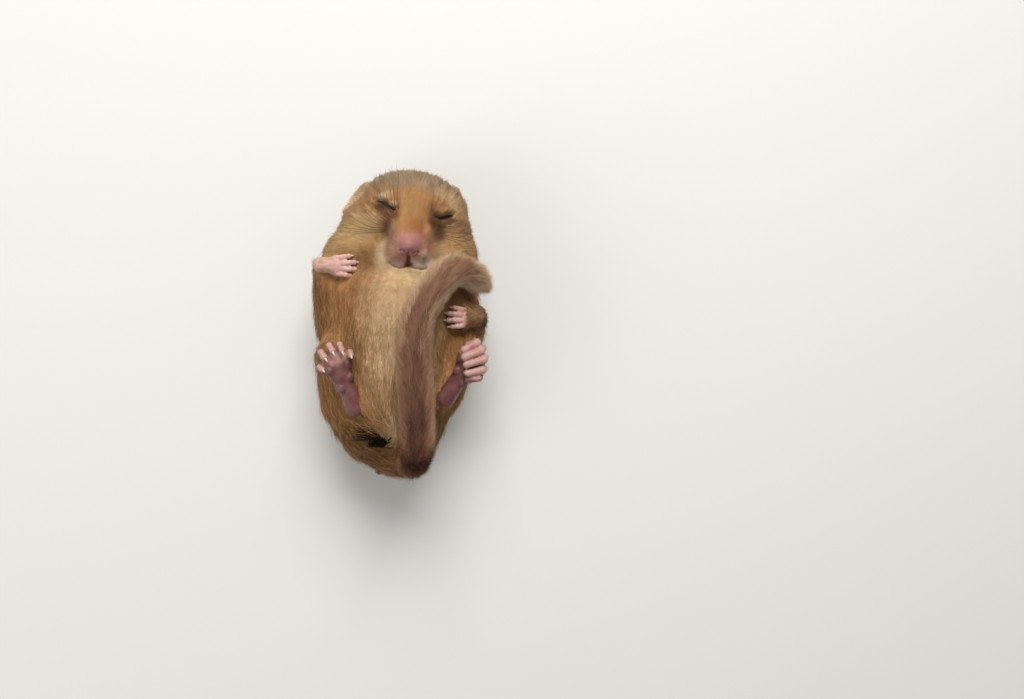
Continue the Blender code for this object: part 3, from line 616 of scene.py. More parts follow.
# how near a paw's middle the hair is shortest, and how near a shut eye, the lips and the nose's
# pad it ends
PAW_BARE = 0.003
SLIT_BARE = (0.00016, 0.00012)
LIP_BARE = 0.00030
PAD_HAIR_FROM = (0.9, 2.3)
SHORTEST = {
    # the longest hair at the spot itself, and how much it gains with the distance from it
    "paws": (0.0008, 0.4), "slits": (0.0003, 0.55), "lips": (0.0003, 0.5), "matted": (0.0005, 0.7),
}


def unit(ways):
    return ways / np.maximum(np.linalg.norm(ways, axis=1, keepdims=True), 1e-12)


def along_surface(ways, out):
    """The part of each way that lies along the surface."""
    return unit(ways - out * (ways * out).sum(1)[:, None])


def lie_of(places, normals):
    """The way the hair lies at each place, along the surface."""
    from_nose = unit(places - nose_tip)
    back = np.tile((0.0, -1.0, 0.0), (len(places), 1))
    back[:, 2] += 0.25 * ease(0.004, 0.012, places[:, 2]) - 0.1
    beyond_neck = (places - np.array(NECK_AT)) @ np.array(NECK_WAY)
    of_head = ease(*HEAD_LIE_FROM, beyond_neck)[:, None]
    way = back * (1 - of_head) + from_nose * of_head
    for middle, reach, lie in LIE:
        steep = np.abs(normals @ np.array(lie)) / np.linalg.norm(lie)
        pull = fading(distance(places, middle), reach) * LIE_PULL * ease(0, 0.6, 1 - steep)
        way += np.array(lie) * pull[:, None]
    pull, reach = MATTED_GATHERS
    way += unit(MATTED_AT - places) * (fading(distance(places, MATTED_AT), reach) * pull)[:, None]
    return along_surface(way, normals)


def evenly(places):
    return np.ones(len(places))


def rooted(piece, count, draw, weigh):
    """Random roots over a piece: place, normal, and place on its unwrap. weigh says how dense."""
    mesh = piece.data
    mesh.calc_loop_triangles()
    corners = read_all(mesh.loop_triangles, "vertices", 3, np.int32)
    loops = read_all(mesh.loop_triangles, "loops", 3, np.int32)
    places, normals = coordinates(mesh), vertex_normals(mesh)
    unwrap = read_all(mesh.uv_layers["OFBake"].data, "uv", 2)
    a, b, c = (places[corners[:, k]] for k in range(3))
    area = np.linalg.norm(np.cross(b - a, c - a), axis=1) / 2
    odds = area * weigh((a + b + c) / 3)
    chosen = draw.choice(len(area), count, p=odds / odds.sum())
    share = draw.random((count, 2))
    fold = share.sum(1) > 1
    share[fold] = 1 - share[fold]
    weights = np.column_stack((1 - share.sum(1), share))[:, :, None]
    where = (places[corners[chosen]] * weights).sum(1)
    out = unit((normals[corners[chosen]] * weights).sum(1))
    return where, out, unwrap[loops[chosen]].mean(1)


SPIKE = ((0, 1, 2), (0, 3, 1), (1, 3, 2), (2, 3, 0))
BENT_SPIKE = (
    (0, 1, 2), (0, 4, 1), (0, 3, 4), (1, 5, 2), (1, 4, 5),
    (2, 3, 0), (2, 5, 3), (3, 6, 4), (4, 6, 5), (5, 6, 3),
)
ROUNDNESS = 0.5
TUFT_RISE = 0.55
TUFT_SUNK = 0.3
TUFT_WAIST = 0.42
OFF_THE_FLOOR = 0.00003
PATCH_SIZE = 0.0015


def tuft_piece(
    name, roots, lie, out, length, width, lift, patch, draw, bent=True, flat=0.3, facing=None, **marks
):
    """Closed three-sided tufts as one mesh: straight spikes, or bent ones that rise and lie back.
    They are shaded like the rounded surface that they make together. marks are kept per tuft."""
    count = len(roots)
    across = np.cross(lie, out)
    length, width, lift = (np.broadcast_to(v, count)[:, None] for v in (length, width, lift))
    rise, sunk, waist = width * TUFT_RISE, out * width * TUFT_SUNK, across * width * TUFT_WAIST
    left, right = roots - across * width / 2, roots + across * width / 2
    middle = roots + length * 0.5 * (lie * np.cos(lift) + out * np.sin(lift))
    tip = middle + length * 0.5 * (lie * np.cos(lift * flat) + out * np.sin(lift * flat))
    facing = out if facing is None else facing
    shading = [facing - across * ROUNDNESS, facing + across * ROUNDNESS, facing]
    rings = [left - sunk, right - sunk, roots + out * rise]
    if bent:
        rings += [middle - waist, middle + waist, middle + out * rise * 0.8]
        shading *= 2
    else:
        tip = roots + length * (lie * np.cos(lift) + out * np.sin(lift))
    points = np.stack([*rings, tip], axis=1)
    shading = np.stack([*shading, facing + lie * 0.3], axis=1)
    points[:, :, 2] = np.maximum(points[:, :, 2], OFF_THE_FLOOR)
    faces = np.array(BENT_SPIKE if bent else SPIKE)
    corners = points.shape[1]
    mesh = bpy.data.meshes.new(name)
    mesh.vertices.add(count * corners)
    mesh.vertices.foreach_set("co", points.astype(np.float32).ravel())
    all_faces = (faces[None] + np.arange(count)[:, None, None] * corners).reshape(-1)
    mesh.loops.add(len(all_faces))
    mesh.loops.foreach_set("vertex_index", all_faces.astype(np.int32))
    mesh.polygons.add(count * len(faces))
    mesh.polygons.foreach_set("loop_start", np.arange(count * len(faces), dtype=np.int32) * 3)
    shade_smooth(mesh)
    along = np.array((0, 0, 0, 0.5, 0.5, 0.5, 1) if bent else (0, 0, 0, 1))
    numbers = {"along": np.tile(along, count), "shade": np.repeat(draw.random(count), corners)}
    numbers.update({label: np.repeat(values, corners) for label, values in marks.items()})
    keep_numbers(mesh, **numbers)
    sides = np.array((-1, 1, 0) * (2 if bent else 1) + (0,))
    spread = np.column_stack((sides, along * 2)) * PATCH_SIZE
    patches = (patch[:, None] + spread[None]).reshape(-1, 2)[all_faces]
    mesh.uv_layers.new(name="OFBake").data.foreach_set("uv", patches.astype(np.float32).ravel())
    mesh.update(calc_edges=True)
    mesh.normals_split_custom_set_from_vertices(unit(shading.reshape(-1, 3)))
    return placed(name, mesh)


def runs_of(order, bent):
    """The tufts in runs, each few enough for one piece."""
    faces_each = len(BENT_SPIKE if bent else SPIKE)
    return np.array_split(order, math.ceil(len(order) * faces_each / PIECE_TRIANGLES))


COMB_CELLS = 64
COMB_SAMPLES = 9
COMB_SHIFT = 500
COMB_BESIDE = 0.00012
COMB_STRAY = 0.09
COMB_GRAIN = 0.00042
COMB_REACH = 0.0019
COMB_LEAN = 0.6
COMB_CONTRAST = 5.5
comb_grid = np.random.default_rng(17).random((COMB_CELLS,) * 3)


def combed(places, lie):
    """0 in a parting and 1 on a ridge of the combed hair: a grain drawn out along the lie."""
    total = np.zeros(len(places))
    for step in np.linspace(-COMB_REACH, COMB_REACH, COMB_SAMPLES):
        at = (places + lie * step) / COMB_GRAIN + COMB_SHIFT
        low = np.floor(at).astype(int)
        share = ease(0, 1, at - low)
        for corner in np.ndindex(2, 2, 2):
            x, y, z = (low + corner).T % COMB_CELLS
            total += comb_grid[x, y, z] * np.prod(np.where(corner, share, 1 - share), axis=1)
    return np.clip(0.5 + (total / COMB_SAMPLES - 0.5) * COMB_CONTRAST, 0, 1)


def combed_lie(roots, lie, out, draw):
    """The lie with each tuft leant to the ridge beside it, and how light the tuft is."""
    beside = np.cross(lie, out)
    slope = combed(roots + beside * COMB_BESIDE, lie) - combed(roots - beside * COMB_BESIDE, lie)
    lean = slope * COMB_LEAN + draw.normal(0, COMB_STRAY, len(roots))
    shade = 0.35 * draw.random(len(roots)) + 0.65 * combed(roots, lie)
    return along_surface(lie + beside * lean[:, None], out), shade


fur = Paint("golden_fur", Roughness=0.7, Sheen_Weight=0.08, Sheen_Roughness=0.5, Specular_IOR_Level=0.2)
shade, along = fur.attribute("shade"), fur.attribute("along")
light = 0.50 + 0.14 * along + 0.70 * shade
blue = light * (0.86 + 0.16 * shade)
strand = fur.value("ShaderNodeCombineColor", {}, {0: light, 1: light * 0.98, 2: blue})
fur_colour = fur.mixed(1.0, marked_colour(fur), strand, "MULTIPLY")

draw = np.random.default_rng(11)


def density(places):
    """Tufts for each area: closest on the face, thinnest underneath, none on the tail."""
    dense = 1 + 2.6 * (1 - ease(0.005, 0.018, distance(places, nose_tip)))
    dense *= 0.35 + 0.65 * ease(0.0005, 0.006, places[:, 2])
    tail_gap, tail_foot = to_line(places, tail_line[8:])
    dense *= (tail_gap > 0.0024) | (tail_foot <= 0)
    return dense


def held_short(length, gap, beside):
    """The hair's length, where it comes near something that it has to leave free."""
    least, gain = SHORTEST[beside]
    return np.minimum(length, least + gain * gap)


coat_number = 0
for layer in (UNDERFUR, GUARD_HAIR):
    roots, out, patch = rooted(skin, layer["count"], draw, density)
    lie = lie_of(roots, out)
    from_nose = distance(roots, nose_tip)
    from_paws = np.min([distance(roots, paw) for paw in PAW_MIDDLES], axis=0)
    length = FACE_HAIR + (layer["long"] - FACE_HAIR) * ease(*LENGTH_GROWS, from_nose)
    length = held_short(length, np.maximum(from_paws - PAW_BARE, 0), "paws")
    keep = np.ones(len(roots), bool)
    for line in slit_lines.values():
        gap, foot = to_line(roots, line)
        keep &= gap > SLIT_BARE[0] + SLIT_BARE[1] * np.sin(np.pi * foot)
        length = held_short(length, gap, "slits")
    for line in (cleft_line, mouth_line):
        gap = to_line(roots, line)[0]
        keep &= gap > LIP_BARE
        length = held_short(length, gap, "lips")
    keep &= draw.random(len(roots)) < ease(*PAD_HAIR_FROM, beyond_pad(roots))
    lie, shade = combed_lie(roots, lie, out, draw)
    length = held_short(length, distance(roots, MATTED_AT), "matted")
    shade = 0.5 + (shade - 0.5) * (0.3 + 0.7 * ease(*CONTRAST_GROWS, from_nose))
    width = layer["width"] * (0.45 + 0.55 * ease(*WIDTH_GROWS, from_nose))
    width = width * draw.uniform(0.8, 1.2, len(roots))
    lift = (0.6 + 0.4 * ease(*LIFT_GROWS, from_nose)) * layer["lift"] * draw.uniform(0.5, 1.5, len(roots))
    length = length * draw.uniform(0.75, 1.15, len(roots))
    if layer["bent"]:
        stray = draw.random(len(roots)) < STRAY_SHARE
        lift = np.where(stray, lift * 1.9, lift)
        width = np.where(stray, width * 0.5, width)
    order = np.flatnonzero(keep)
    order = order[np.argsort(roots[order, 1])]
    for some in runs_of(order, layer["bent"]):
        coat_number += 1
        piece = tuft_piece(
            f"coat_{coat_number}", roots[some], lie[some], out[some], length[some], width[some],
            lift[some], patch[some], draw, layer["bent"], shade=shade[some],
        )
        fur.coat(piece, Base_Color=fur_colour)
        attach(piece, "root")

# The matted spot on the rump: wet dark hair stuck together in pointed clumps, which meet at the
# middle, with longer dark strand tips on its outer side and a few more at the rump's edge.
MATTED_TUFTS = 500
MATTED_REACH = (0.00056, 0.00030)
MATTED_STANDS = 0.0008
STRANDS = (
    # how many, off the middle, how far they scatter, which way they lie, the longest, and their rise
    (18, (-0.0009, 0.0009, 0), (0.0005, 0.0005), (-1.0, 0.06, 0.0), 0.0052, 0),
    (15, (-0.0006, 0.0022, 0), (0.0009, 0.0005), (-1.0, 0.00, 0.0), 0.0044, 0),
    (9, (0.0001, 0.0011, 0), (0.0004, 0.0003), (-0.7, 1.0, 0.0), 0.0020, 0),
    (14, (-0.0010, -0.0010, 0), (0.0005, 0.0002), (-1.0, -0.1, 0.0), 0.0009, 0),
    (5, (0.0015, -0.0011, 0), (0.0003, 0.0002), (1.0, -0.4, 0.0), 0.0006, 0),
    (12, (-0.0005, -0.0078, -0.0064), (0.0003, 0.0003), (-0.1, -0.2, -1.0), 0.0024, 0.35),
)
matted = Paint("matted_hair", Roughness=0.85, Specular_IOR_Level=0.05)
matted_colour = matted.mixed(matted.attribute("shade") ** 2.4, tone(9, 6, 5), tone(34, 23, 15))


def matted_roots(count, off_centre, reach):
    """Roots scattered on the skin round a place of the rump, with their places on its unwrap."""
    off = draw.normal(0, 1, (count, 2)) * reach
    found = [face_skin.find_nearest(Vector(MATTED_AT) + Vector((x, y, 0)) + off_centre) for x, y in off]
    first_loops = [skin.data.polygons[hit[2]].loop_start for hit in found]
    patch = [skin.data.uv_layers["OFBake"].data[loop].uv[:] for loop in first_loops]
    return np.array([hit[0] for hit in found]), np.array([hit[1] for hit in found]), np.array(patch)


clumps = [matted_roots(MATTED_TUFTS, Vector(), MATTED_REACH)]
ways = [unit(MATTED_AT - clumps[0][0]) * 0.5 + draw.normal(0, 0.6, (MATTED_TUFTS, 3))]
lengths = [draw.uniform(0.0006, 0.0013, MATTED_TUFTS)]
widths = [draw.uniform(0.00022, 0.00036, MATTED_TUFTS)]
rises = [np.zeros(MATTED_TUFTS)]
for count, off_centre, reach, way, longest, rise in STRANDS:
    clumps.append(matted_roots(count, Vector(off_centre), reach))
    ways.append(np.array(way) + draw.normal(0, 0.12, (count, 3)))
    lengths.append(longest * draw.uniform(0.6, 1.0, count))
    widths.append(draw.uniform(0.00009, 0.00015, count))
    rises.append(np.full(count, rise))
roots, out, patch = (np.vstack(parts) for parts in zip(*clumps))
piece = tuft_piece(
    "matted_spot", roots + out * MATTED_STANDS, along_surface(np.vstack(ways), out), out,
    np.concatenate(lengths), np.concatenate(widths),
    np.concatenate(rises) + draw.uniform(-0.1, 0.15, len(roots)), patch, draw,
)
matted.coat(piece, Base_Color=matted_colour)
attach(piece, "root")

# The tail's brush: longer, softer hair than the body's, set all round the thin tail and combed to
# both sides. It is dark red-brown down the middle and paler along both edges, painted light that
# shines through the hair there, and its end is a loose wisp. Near the rump its root is painted
# lighter, painted light on hair that lies in shadow.
BRUSH = (
    dict(count=42000, width=0.00019, long=0.0044, bent=False),
    dict(count=9000, width=0.00015, long=0.0052, bent=True),
)
WISP_FROM = 0.80
SKY_SHARE = np.array((0, 0.3, 0.8))
BRUSH_REACH = 0.0184
BRUSH_RAGGED = 0.0045
WISP_WAY = (0.5, 0.25, 0.2)
WISP_LOOSE = 0.4
FLESH_REACH = 0.0024
FULL_RADIUS = 0.0032
TIP_HAIR = (0.0038, 0.062)
ROOT_LIES_FLAT = (0.07, 0.16)
brush = Paint("tail_fur", Roughness=0.7, Sheen_Weight=0.08, Specular_IOR_Level=0.2)
shade, along, paleness = (brush.attribute(label) for label in ("shade", "along", "paleness"))
hair = brush.value(
    "ShaderNodeValToRGB",
    {"stops": ((0.0, tone(86, 52, 38)), (0.5, tone(148, 107, 80)), (1.0, tone(200, 172, 140)))},
    {"Fac": paleness + along * 0.12 + shade * 0.16 - 0.12},
)
light = 0.72 + 0.42 * shade
strand = brush.value("ShaderNodeCombineColor", {}, {0: light, 1: light, 2: light})
brush_colour = brush.mixed(1.0, hair, strand, "MULTIPLY")


def along_tail(places):
    tail_gap, tail_foot = to_line(places, tail_line[4:])
    return (tail_gap < FLESH_REACH) & (tail_foot > 0)


brush_number = 0
for layer in BRUSH:
    roots, out, patch = rooted(skin, layer["count"], draw, along_tail)
    gap, foot = to_line(roots, tail_line)
    spans = np.array(tail_line)
    station = np.clip((foot * (len(spans) - 1)).astype(int), 1, len(spans) - 2)
    lie = unit(spans[station + 1] - spans[station - 1])
    out = along_surface(out, lie)
    turned = np.cross(lie, out)[:, 2]
    wisp = ease(WISP_FROM, 1.0, foot)
    lie = along_surface(lie + np.array(WISP_WAY) * wisp[:, None], out)
    radius = np.interp(foot, np.linspace(0, 1, len(tail_radius)), tail_radius)
    length = layer["long"] * draw.uniform(0.7, 1.15, len(roots)) * np.clip(radius / FULL_RADIUS, 0.6, 1)
    to_tip = TIP_HAIR[0] + (1 - foot) * TIP_HAIR[1]
    length = np.minimum(length, to_tip * draw.uniform(0.35, 1.0, len(roots)))
    reach = BRUSH_REACH - BRUSH_RAGGED * draw.random(len(roots)) ** 1.5
    length = np.minimum(length, np.maximum((reach - roots[:, 0]) / np.maximum(lie[:, 0], 0.05), 0.0006))
    lift = np.arcsin(np.clip((radius - gap) / length, 0.06, 0.72)) * draw.uniform(0.5, 1.25, len(roots))
    lift = lift * (0.3 + 0.7 * ease(*ROOT_LIES_FLAT, foot))
    lie, shade = combed_lie(roots, lie, out, draw)
    loose = (draw.normal(0, WISP_LOOSE, len(roots)) * wisp)[:, None]
    lie = along_surface(lie + np.cross(lie, out) * loose, out)
    # paler along both edges, painted light that shines through the hair, and paler towards the tip and
    # most in the wisp; painted light again at the root where it leaves the rump and lies in shadow,
    # most on its shaded side
    paleness = 0.46 * ease(0.35, 0.95, np.abs(turned)) + 0.46 * ease(0.2, 0.85, foot)
    paleness += 0.62 * ease(0.78, 0.98, foot)
    paleness += 0.55 * ease(0.20, 0.09, foot) - 0.04
    paleness += 0.30 * ease(0.3, 0.9, -turned) * ease(0.45, 0.15, foot)
    paleness = np.minimum(paleness, 1.3 - 0.75 * ease(0.20, 0.11, foot))
    sky = SKY_SHARE * (1 + 2.4 * ease(0.27, 0.13, foot))[:, None]
    for some in runs_of(np.argsort(foot), layer["bent"]):
        brush_number += 1
        piece = tuft_piece(
            f"brush_{brush_number}", roots[some], lie[some], out[some], length[some],
            layer["width"] * (1 - 0.4 * wisp[some]), lift[some], patch[some], draw, layer["bent"], 0.6,
            facing=unit(out + sky)[some], paleness=paleness[some], shade=shade[some],
        )
        brush.coat(piece, Base_Color=brush_colour)
        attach(piece, "root")

# The shut eyes: dark, moist rims of the two lids meet in a thin bowed slit, with short lashes
# along the upper one. Their dark colour is partly the lids' own and partly painted shade in the
# slit and under the lashes. They lie in the folds of the skin.
RIM_WIDTH = 0.00038
RIM_DEPTH = 0.00034
LASHES = 22
LASH_LENGTH = 0.0011
LASH_RADII = (0.00005, 0.00004, 0.00003, 0.00001)


def add_sweep(form, line, radii, sides=6, flat=1.0, out=(0, 0, 1)):
    """A closed stem along a line: rings of the given radii, thinner by flat along out."""
    rings = []
    last = len(line) - 1
    for i, (point, radius) in enumerate(zip(line, radii)):
        way = (line[min(i + 1, last)] - line[max(i - 1, 0)]).normalized()
        side = way.cross(Vector(out)).normalized()
        lift = side.cross(way).normalized()
        turns = [2 * math.pi * k / sides for k in range(sides)]
        rings.append([
            form.verts.new(point + side * math.cos(a) * radius + lift * math.sin(a) * radius * flat)
            for a in turns
        ])
    for low, high in zip(rings, rings[1:]):
        for k in range(sides):
            form.faces.new((low[k], low[(k + 1) % sides], high[(k + 1) % sides], high[k]))
    form.faces.new(rings[0][::-1])
    form.faces.new(rings[-1])


def finished_form(name, form):
    """A bmesh as a smooth piece with its faces outwards."""
    bmesh.ops.recalc_face_normals(form, faces=form.faces[:])
    mesh = bpy.data.meshes.new(name)
    form.to_mesh(mesh)
    form.free()
    shade_smooth(mesh)
    return placed(name, mesh)


lid = Paint("lid_rim", Roughness=0.8, Specular_IOR_Level=0.15)
# dark rim colour: partly the lids' own, partly painted shade of the slit
rim_colour = lid.mixed(lid.noise(scale=4000.0, detail=2.0), tone(30, 19, 15), tone(64, 42, 30))
draw = np.random.default_rng(5)
for side, line in slit_lines.items():
    form = bmesh.new()
    shares = [i / (len(line) - 1) for i in range(len(line))]
    out = (CAMERA_AT - line[len(line) // 2]).normalized()
    inwards = [t if side == "right" else 1 - t for t in shares]
    radii = [RIM_WIDTH * (0.08 + 0.92 * math.sin(math.pi * t ** 1.7)) for t in inwards]
    add_sweep(form, [point - out * RIM_DEPTH for point in line], radii, 8, 0.6, out)
    for k in range(LASHES):
        t = 0.1 + 0.85 * k / LASHES
        i = int(t * (len(line) - 1))
        root = line[i].lerp(line[i + 1], t * (len(line) - 1) - i) - out * 0.0001
        along = (line[-1] - line[0]).normalized()
        fan = along * (t - 0.5) * 1.2
        down = along.cross(out) * (1 if along.x > 0 else -1)
        way = (down * 0.8 + fan + out * 0.55).normalized()
        reach = LASH_LENGTH * draw.uniform(0.7, 1.1)
        curve = [root + way * reach * u + down * reach * 0.35 * u * u for u in (0, 0.35, 0.7, 1)]
        add_sweep(form, curve, LASH_RADII, 3)
    rim = finished_form("lid_rim_" + side, form)
    lid.coat(rim, Base_Color=rim_colour)
    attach(rim, "root")

# The ears: thin rounded cups folded back against the neck in sleep, covered on both sides with
# the finest, shortest fur.
EAR_GRAIN = 0.00016
EAR_ROUNDS = 6
EAR_TUFTS = 5200
EAR_HAIR = (0.0009, 0.00012)
EAR_TUCK = {"left": (-0.0009, 0.0002, -0.0012), "right": (0, 0, 0)}
ear_skin = Paint("ear_skin", Roughness=0.55, Subsurface_Weight=0.2, Subsurface_Scale=0.0008)
veins = ear_skin.noise(scale=700.0, detail=4.0)
ear_colour = ear_skin.mixed(veins, tone(164, 116, 92), tone(206, 160, 130))
draw = np.random.default_rng(3)
for side in ("left", "right"):
    ear = cast_of("ear_" + side)
    ear.name = ear.data.name = "ear_skin_" + side
    remeshed(ear, EAR_GRAIN)
    evened(ear, EAR_ROUNDS)
    shade_smooth(ear.data)
    ear.data.transform(Matrix.Translation(EAR_TUCK[side]))
    unwrapped(ear)
    ear_skin.coat(ear, Base_Color=ear_colour)
    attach(ear, "root")
    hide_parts("ear_" + side)
    roots, out, patch = rooted(ear, EAR_TUFTS, draw, evenly)
    lie = along_surface(unit(roots - np.array(head_place.translation)), out)
    longest, width = EAR_HAIR
    down = tuft_piece(
        "ear_fur_" + side, roots, lie, out, longest * draw.uniform(0.7, 1.2, len(roots)), width,
        draw.uniform(0.15, 0.5, len(roots)), patch, draw, bent=False,
    )
    fur.coat(down)
    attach(down, "root")

# The paws: bare pink hands and feet with soft pads and round finger tips, painted shade in deep red
# creases and a deep mauve painted shade on the feet, most on the soles, and a fringe of fine pale
# hair on their backs. Each is melted from balls in its own frame, in millimetres, y towards the
# digits and z out of the palm or sole. The left foot is clenched.
MM = Matrix.Scale(0.001, 4)
PAW_GRAIN = 0.13
PAW_ROUNDS = 6
CREASE_ROUNDS = 24
PALM_STEPS = 6
BONE_STEPS = 5
BONE_WAIST = 0.10
PAWS = {
    # palm, digits, side, heel, where the digits point, and which way the palm or sole faces
    "hind_foot_left": ("foot", "clenched", -1, (8.6, -13.8, 23.2), (16.8, -1.8, 26.4), (-0.15, -0.1, 1)),
    "hind_foot_right": ("foot", "curled", 1, (-8.4, -15.2, 23.0), (-13.6, -2.8, 26.2), (0.2, -0.1, 1)),
    "forepaw_left": ("hand", "hand", -1, (14.2, 1.2, 21.8), (8.6, 1.6, 26.0), (-0.5, 0.0, -1)),
    "forepaw_right": ("hand", "hand", 1, (-14.0, 11.3, 20.6), (-7.8, 11.0, 23.2), (0.4, 0.1, -1)),
}
PALMS = {
    # from the heel to the roots of the digits: x, y, z and radii
    "foot": (
        (0, -0.6, -0.4, 1.9, 1.9, 1.9), (0, 2.0, -0.3, 1.72, 1.8, 1.75), (0, 4.4, -0.3, 1.72, 1.8, 1.7),
        (0, 6.6, -0.15, 2.0, 1.9, 1.8), (0.15, 8.4, -0.1, 2.5, 2.0, 1.7), (0.2, 9.0, -0.1, 2.9, 2.0, 1.4),
    ),
    "hand": ((0, -1.0, 0, 1.55, 1.5, 1.5), (0, 1.0, 0, 1.35, 1.4, 1.35), (0, 2.2, 0, 1.9, 1.5, 1.1)),
}
PADS = {
    "foot": (
        (-1.0, 4.4, 0.80, 1.00), (1.0, 5.8, 0.82, 1.00), (-1.6, 8.3, 0.80, 0.95),
        (-0.6, 9.4, 0.90, 0.95), (0.8, 9.3, 0.90, 0.95), (1.8, 8.0, 0.70, 0.95),
    ),
    "hand": (
        (-1.0, 1.5, 0.8, 0.6), (0.9, 1.3, 0.8, 0.6), (-1.1, 2.8, 0.8, 0.6),
        (0, 3.2, 0.8, 0.6), (1.1, 2.7, 0.8, 0.6),
    ),
}
DIGITS = {
    # root x and y, spread, length, bend at each joint
    "curled": (
        (-2.2, 8.2, -24, 3.4, (10, 50, 105)), (-1.3, 9.8, -8, 4.8, (6, 50, 118)),
        (0.1, 10.2, 2, 5.0, (4, 50, 118)), (1.4, 9.7, 12, 4.8, (6, 50, 118)),
        (2.2, 8.4, 28, 3.6, (10, 50, 105)),
    ),
    "clenched": (
        (-1.9, 6.2, -44, 4.6, (10, 84, 168)), (-1.3, 7.5, -42, 6.2, (10, 84, 172)),
        (-0.3, 9.0, -38, 7.1, (8, 84, 174)), (0.9, 10.0, -34, 7.1, (8, 84, 172)),
        (2.0, 10.8, -28, 5.6, (10, 80, 166)),
    ),
    "hand": (
        (-1.4, 2.6, -10, 2.5, (-8, 14, 52)), (-0.5, 3.1, -3, 3.0, (-8, 14, 56)),
        (0.5, 3.1, 4, 2.9, (-8, 14, 56)), (1.4, 2.6, 12, 2.3, (-8, 14, 52)),
    ),
}
BONE_SHARES = {"curled": (0.33, 0.33, 0.33), "clenched": (0.28, 0.25, 0.47), "hand": (0.33, 0.33, 0.33)}
DIGIT_RADII = {
    "curled": (0.85, 0.66, 0.62, 0.60), "clenched": (0.9, 0.88, 0.84, 0.76), "hand": (0.68, 0.56, 0.53, 0.54),
}
HOOKS = {"hand": 0.9, "foot": -0.6}
FRINGE = dict(count=900, stray=0.25, long=(0.0006, 0.0013), width=0.00008, lifts=(0.1, 0.5))
FLUSHED_AT = {"hind_foot_left": (472.5, 346.5)}
FLUSH_REACH = 0.00060
SLEEVES = {"forepaw_left": 2.6}
SLEEVE = dict(count=4200, stray=0.2, long=(0.0010, 0.0018), width=0.00015, lifts=(0.1, 0.4))


def paw_frame(heel, toes, sole):
    y = (Vector(toes) - Vector(heel)).normalized()
    x = y.cross(Vector(sole)).normalized()
    turn = Matrix((x, y, x.cross(y))).transposed().to_4x4()
    return Matrix.Translation(heel) @ turn


def add_ball(form, x, y, z, radii, place):
    matrix = place @ Matrix.Translation((x, y, z)) @ Matrix.Diagonal((*radii, 1))
    bmesh.ops.create_icosphere(form, subdivisions=3, radius=1, matrix=matrix)


def paw_hair(name, paw, ahead, keeps, count, stray, long, width, lifts):
    """Short straight hair that lies towards the digits, where keeps(roots, out) says."""
    roots, out, patch = rooted(paw, count, draw, evenly)
    kept = keeps(roots, out)
    roots, out, patch = roots[kept], out[kept], patch[kept]
    lie = along_surface(ahead + draw.normal(0, stray, roots.shape), out)
    return tuft_piece(
        name, roots, lie, out, draw.uniform(*long, len(roots)), width,
        draw.uniform(*lifts, len(roots)), patch, draw, bent=False,
    )


paw_skin = Paint("paw_skin", Roughness=0.5, Subsurface_Weight=0.15, Subsurface_Scale=0.0007)
blush = paw_skin.noise(scale=500.0, detail=4.0)
lines = paw_skin.noise(scale=3500.0, detail=3.0)
crease, sole_shade, flush = (paw_skin.attribute(label) for label in ("crease", "sole", "flush"))
paw_colour = paw_skin.mixed(blush, tone(190, 136, 128), tone(218, 180, 168))
# painted shade: the feet darkened towards a deep mauve, most on the soles
paw_colour = paw_skin.mixed(sole_shade * (0.7 + 0.5 * blush), paw_colour, tone(104, 58, 58))
paw_colour = paw_skin.mixed(flush * 0.8, paw_colour, tone(176, 84, 88))
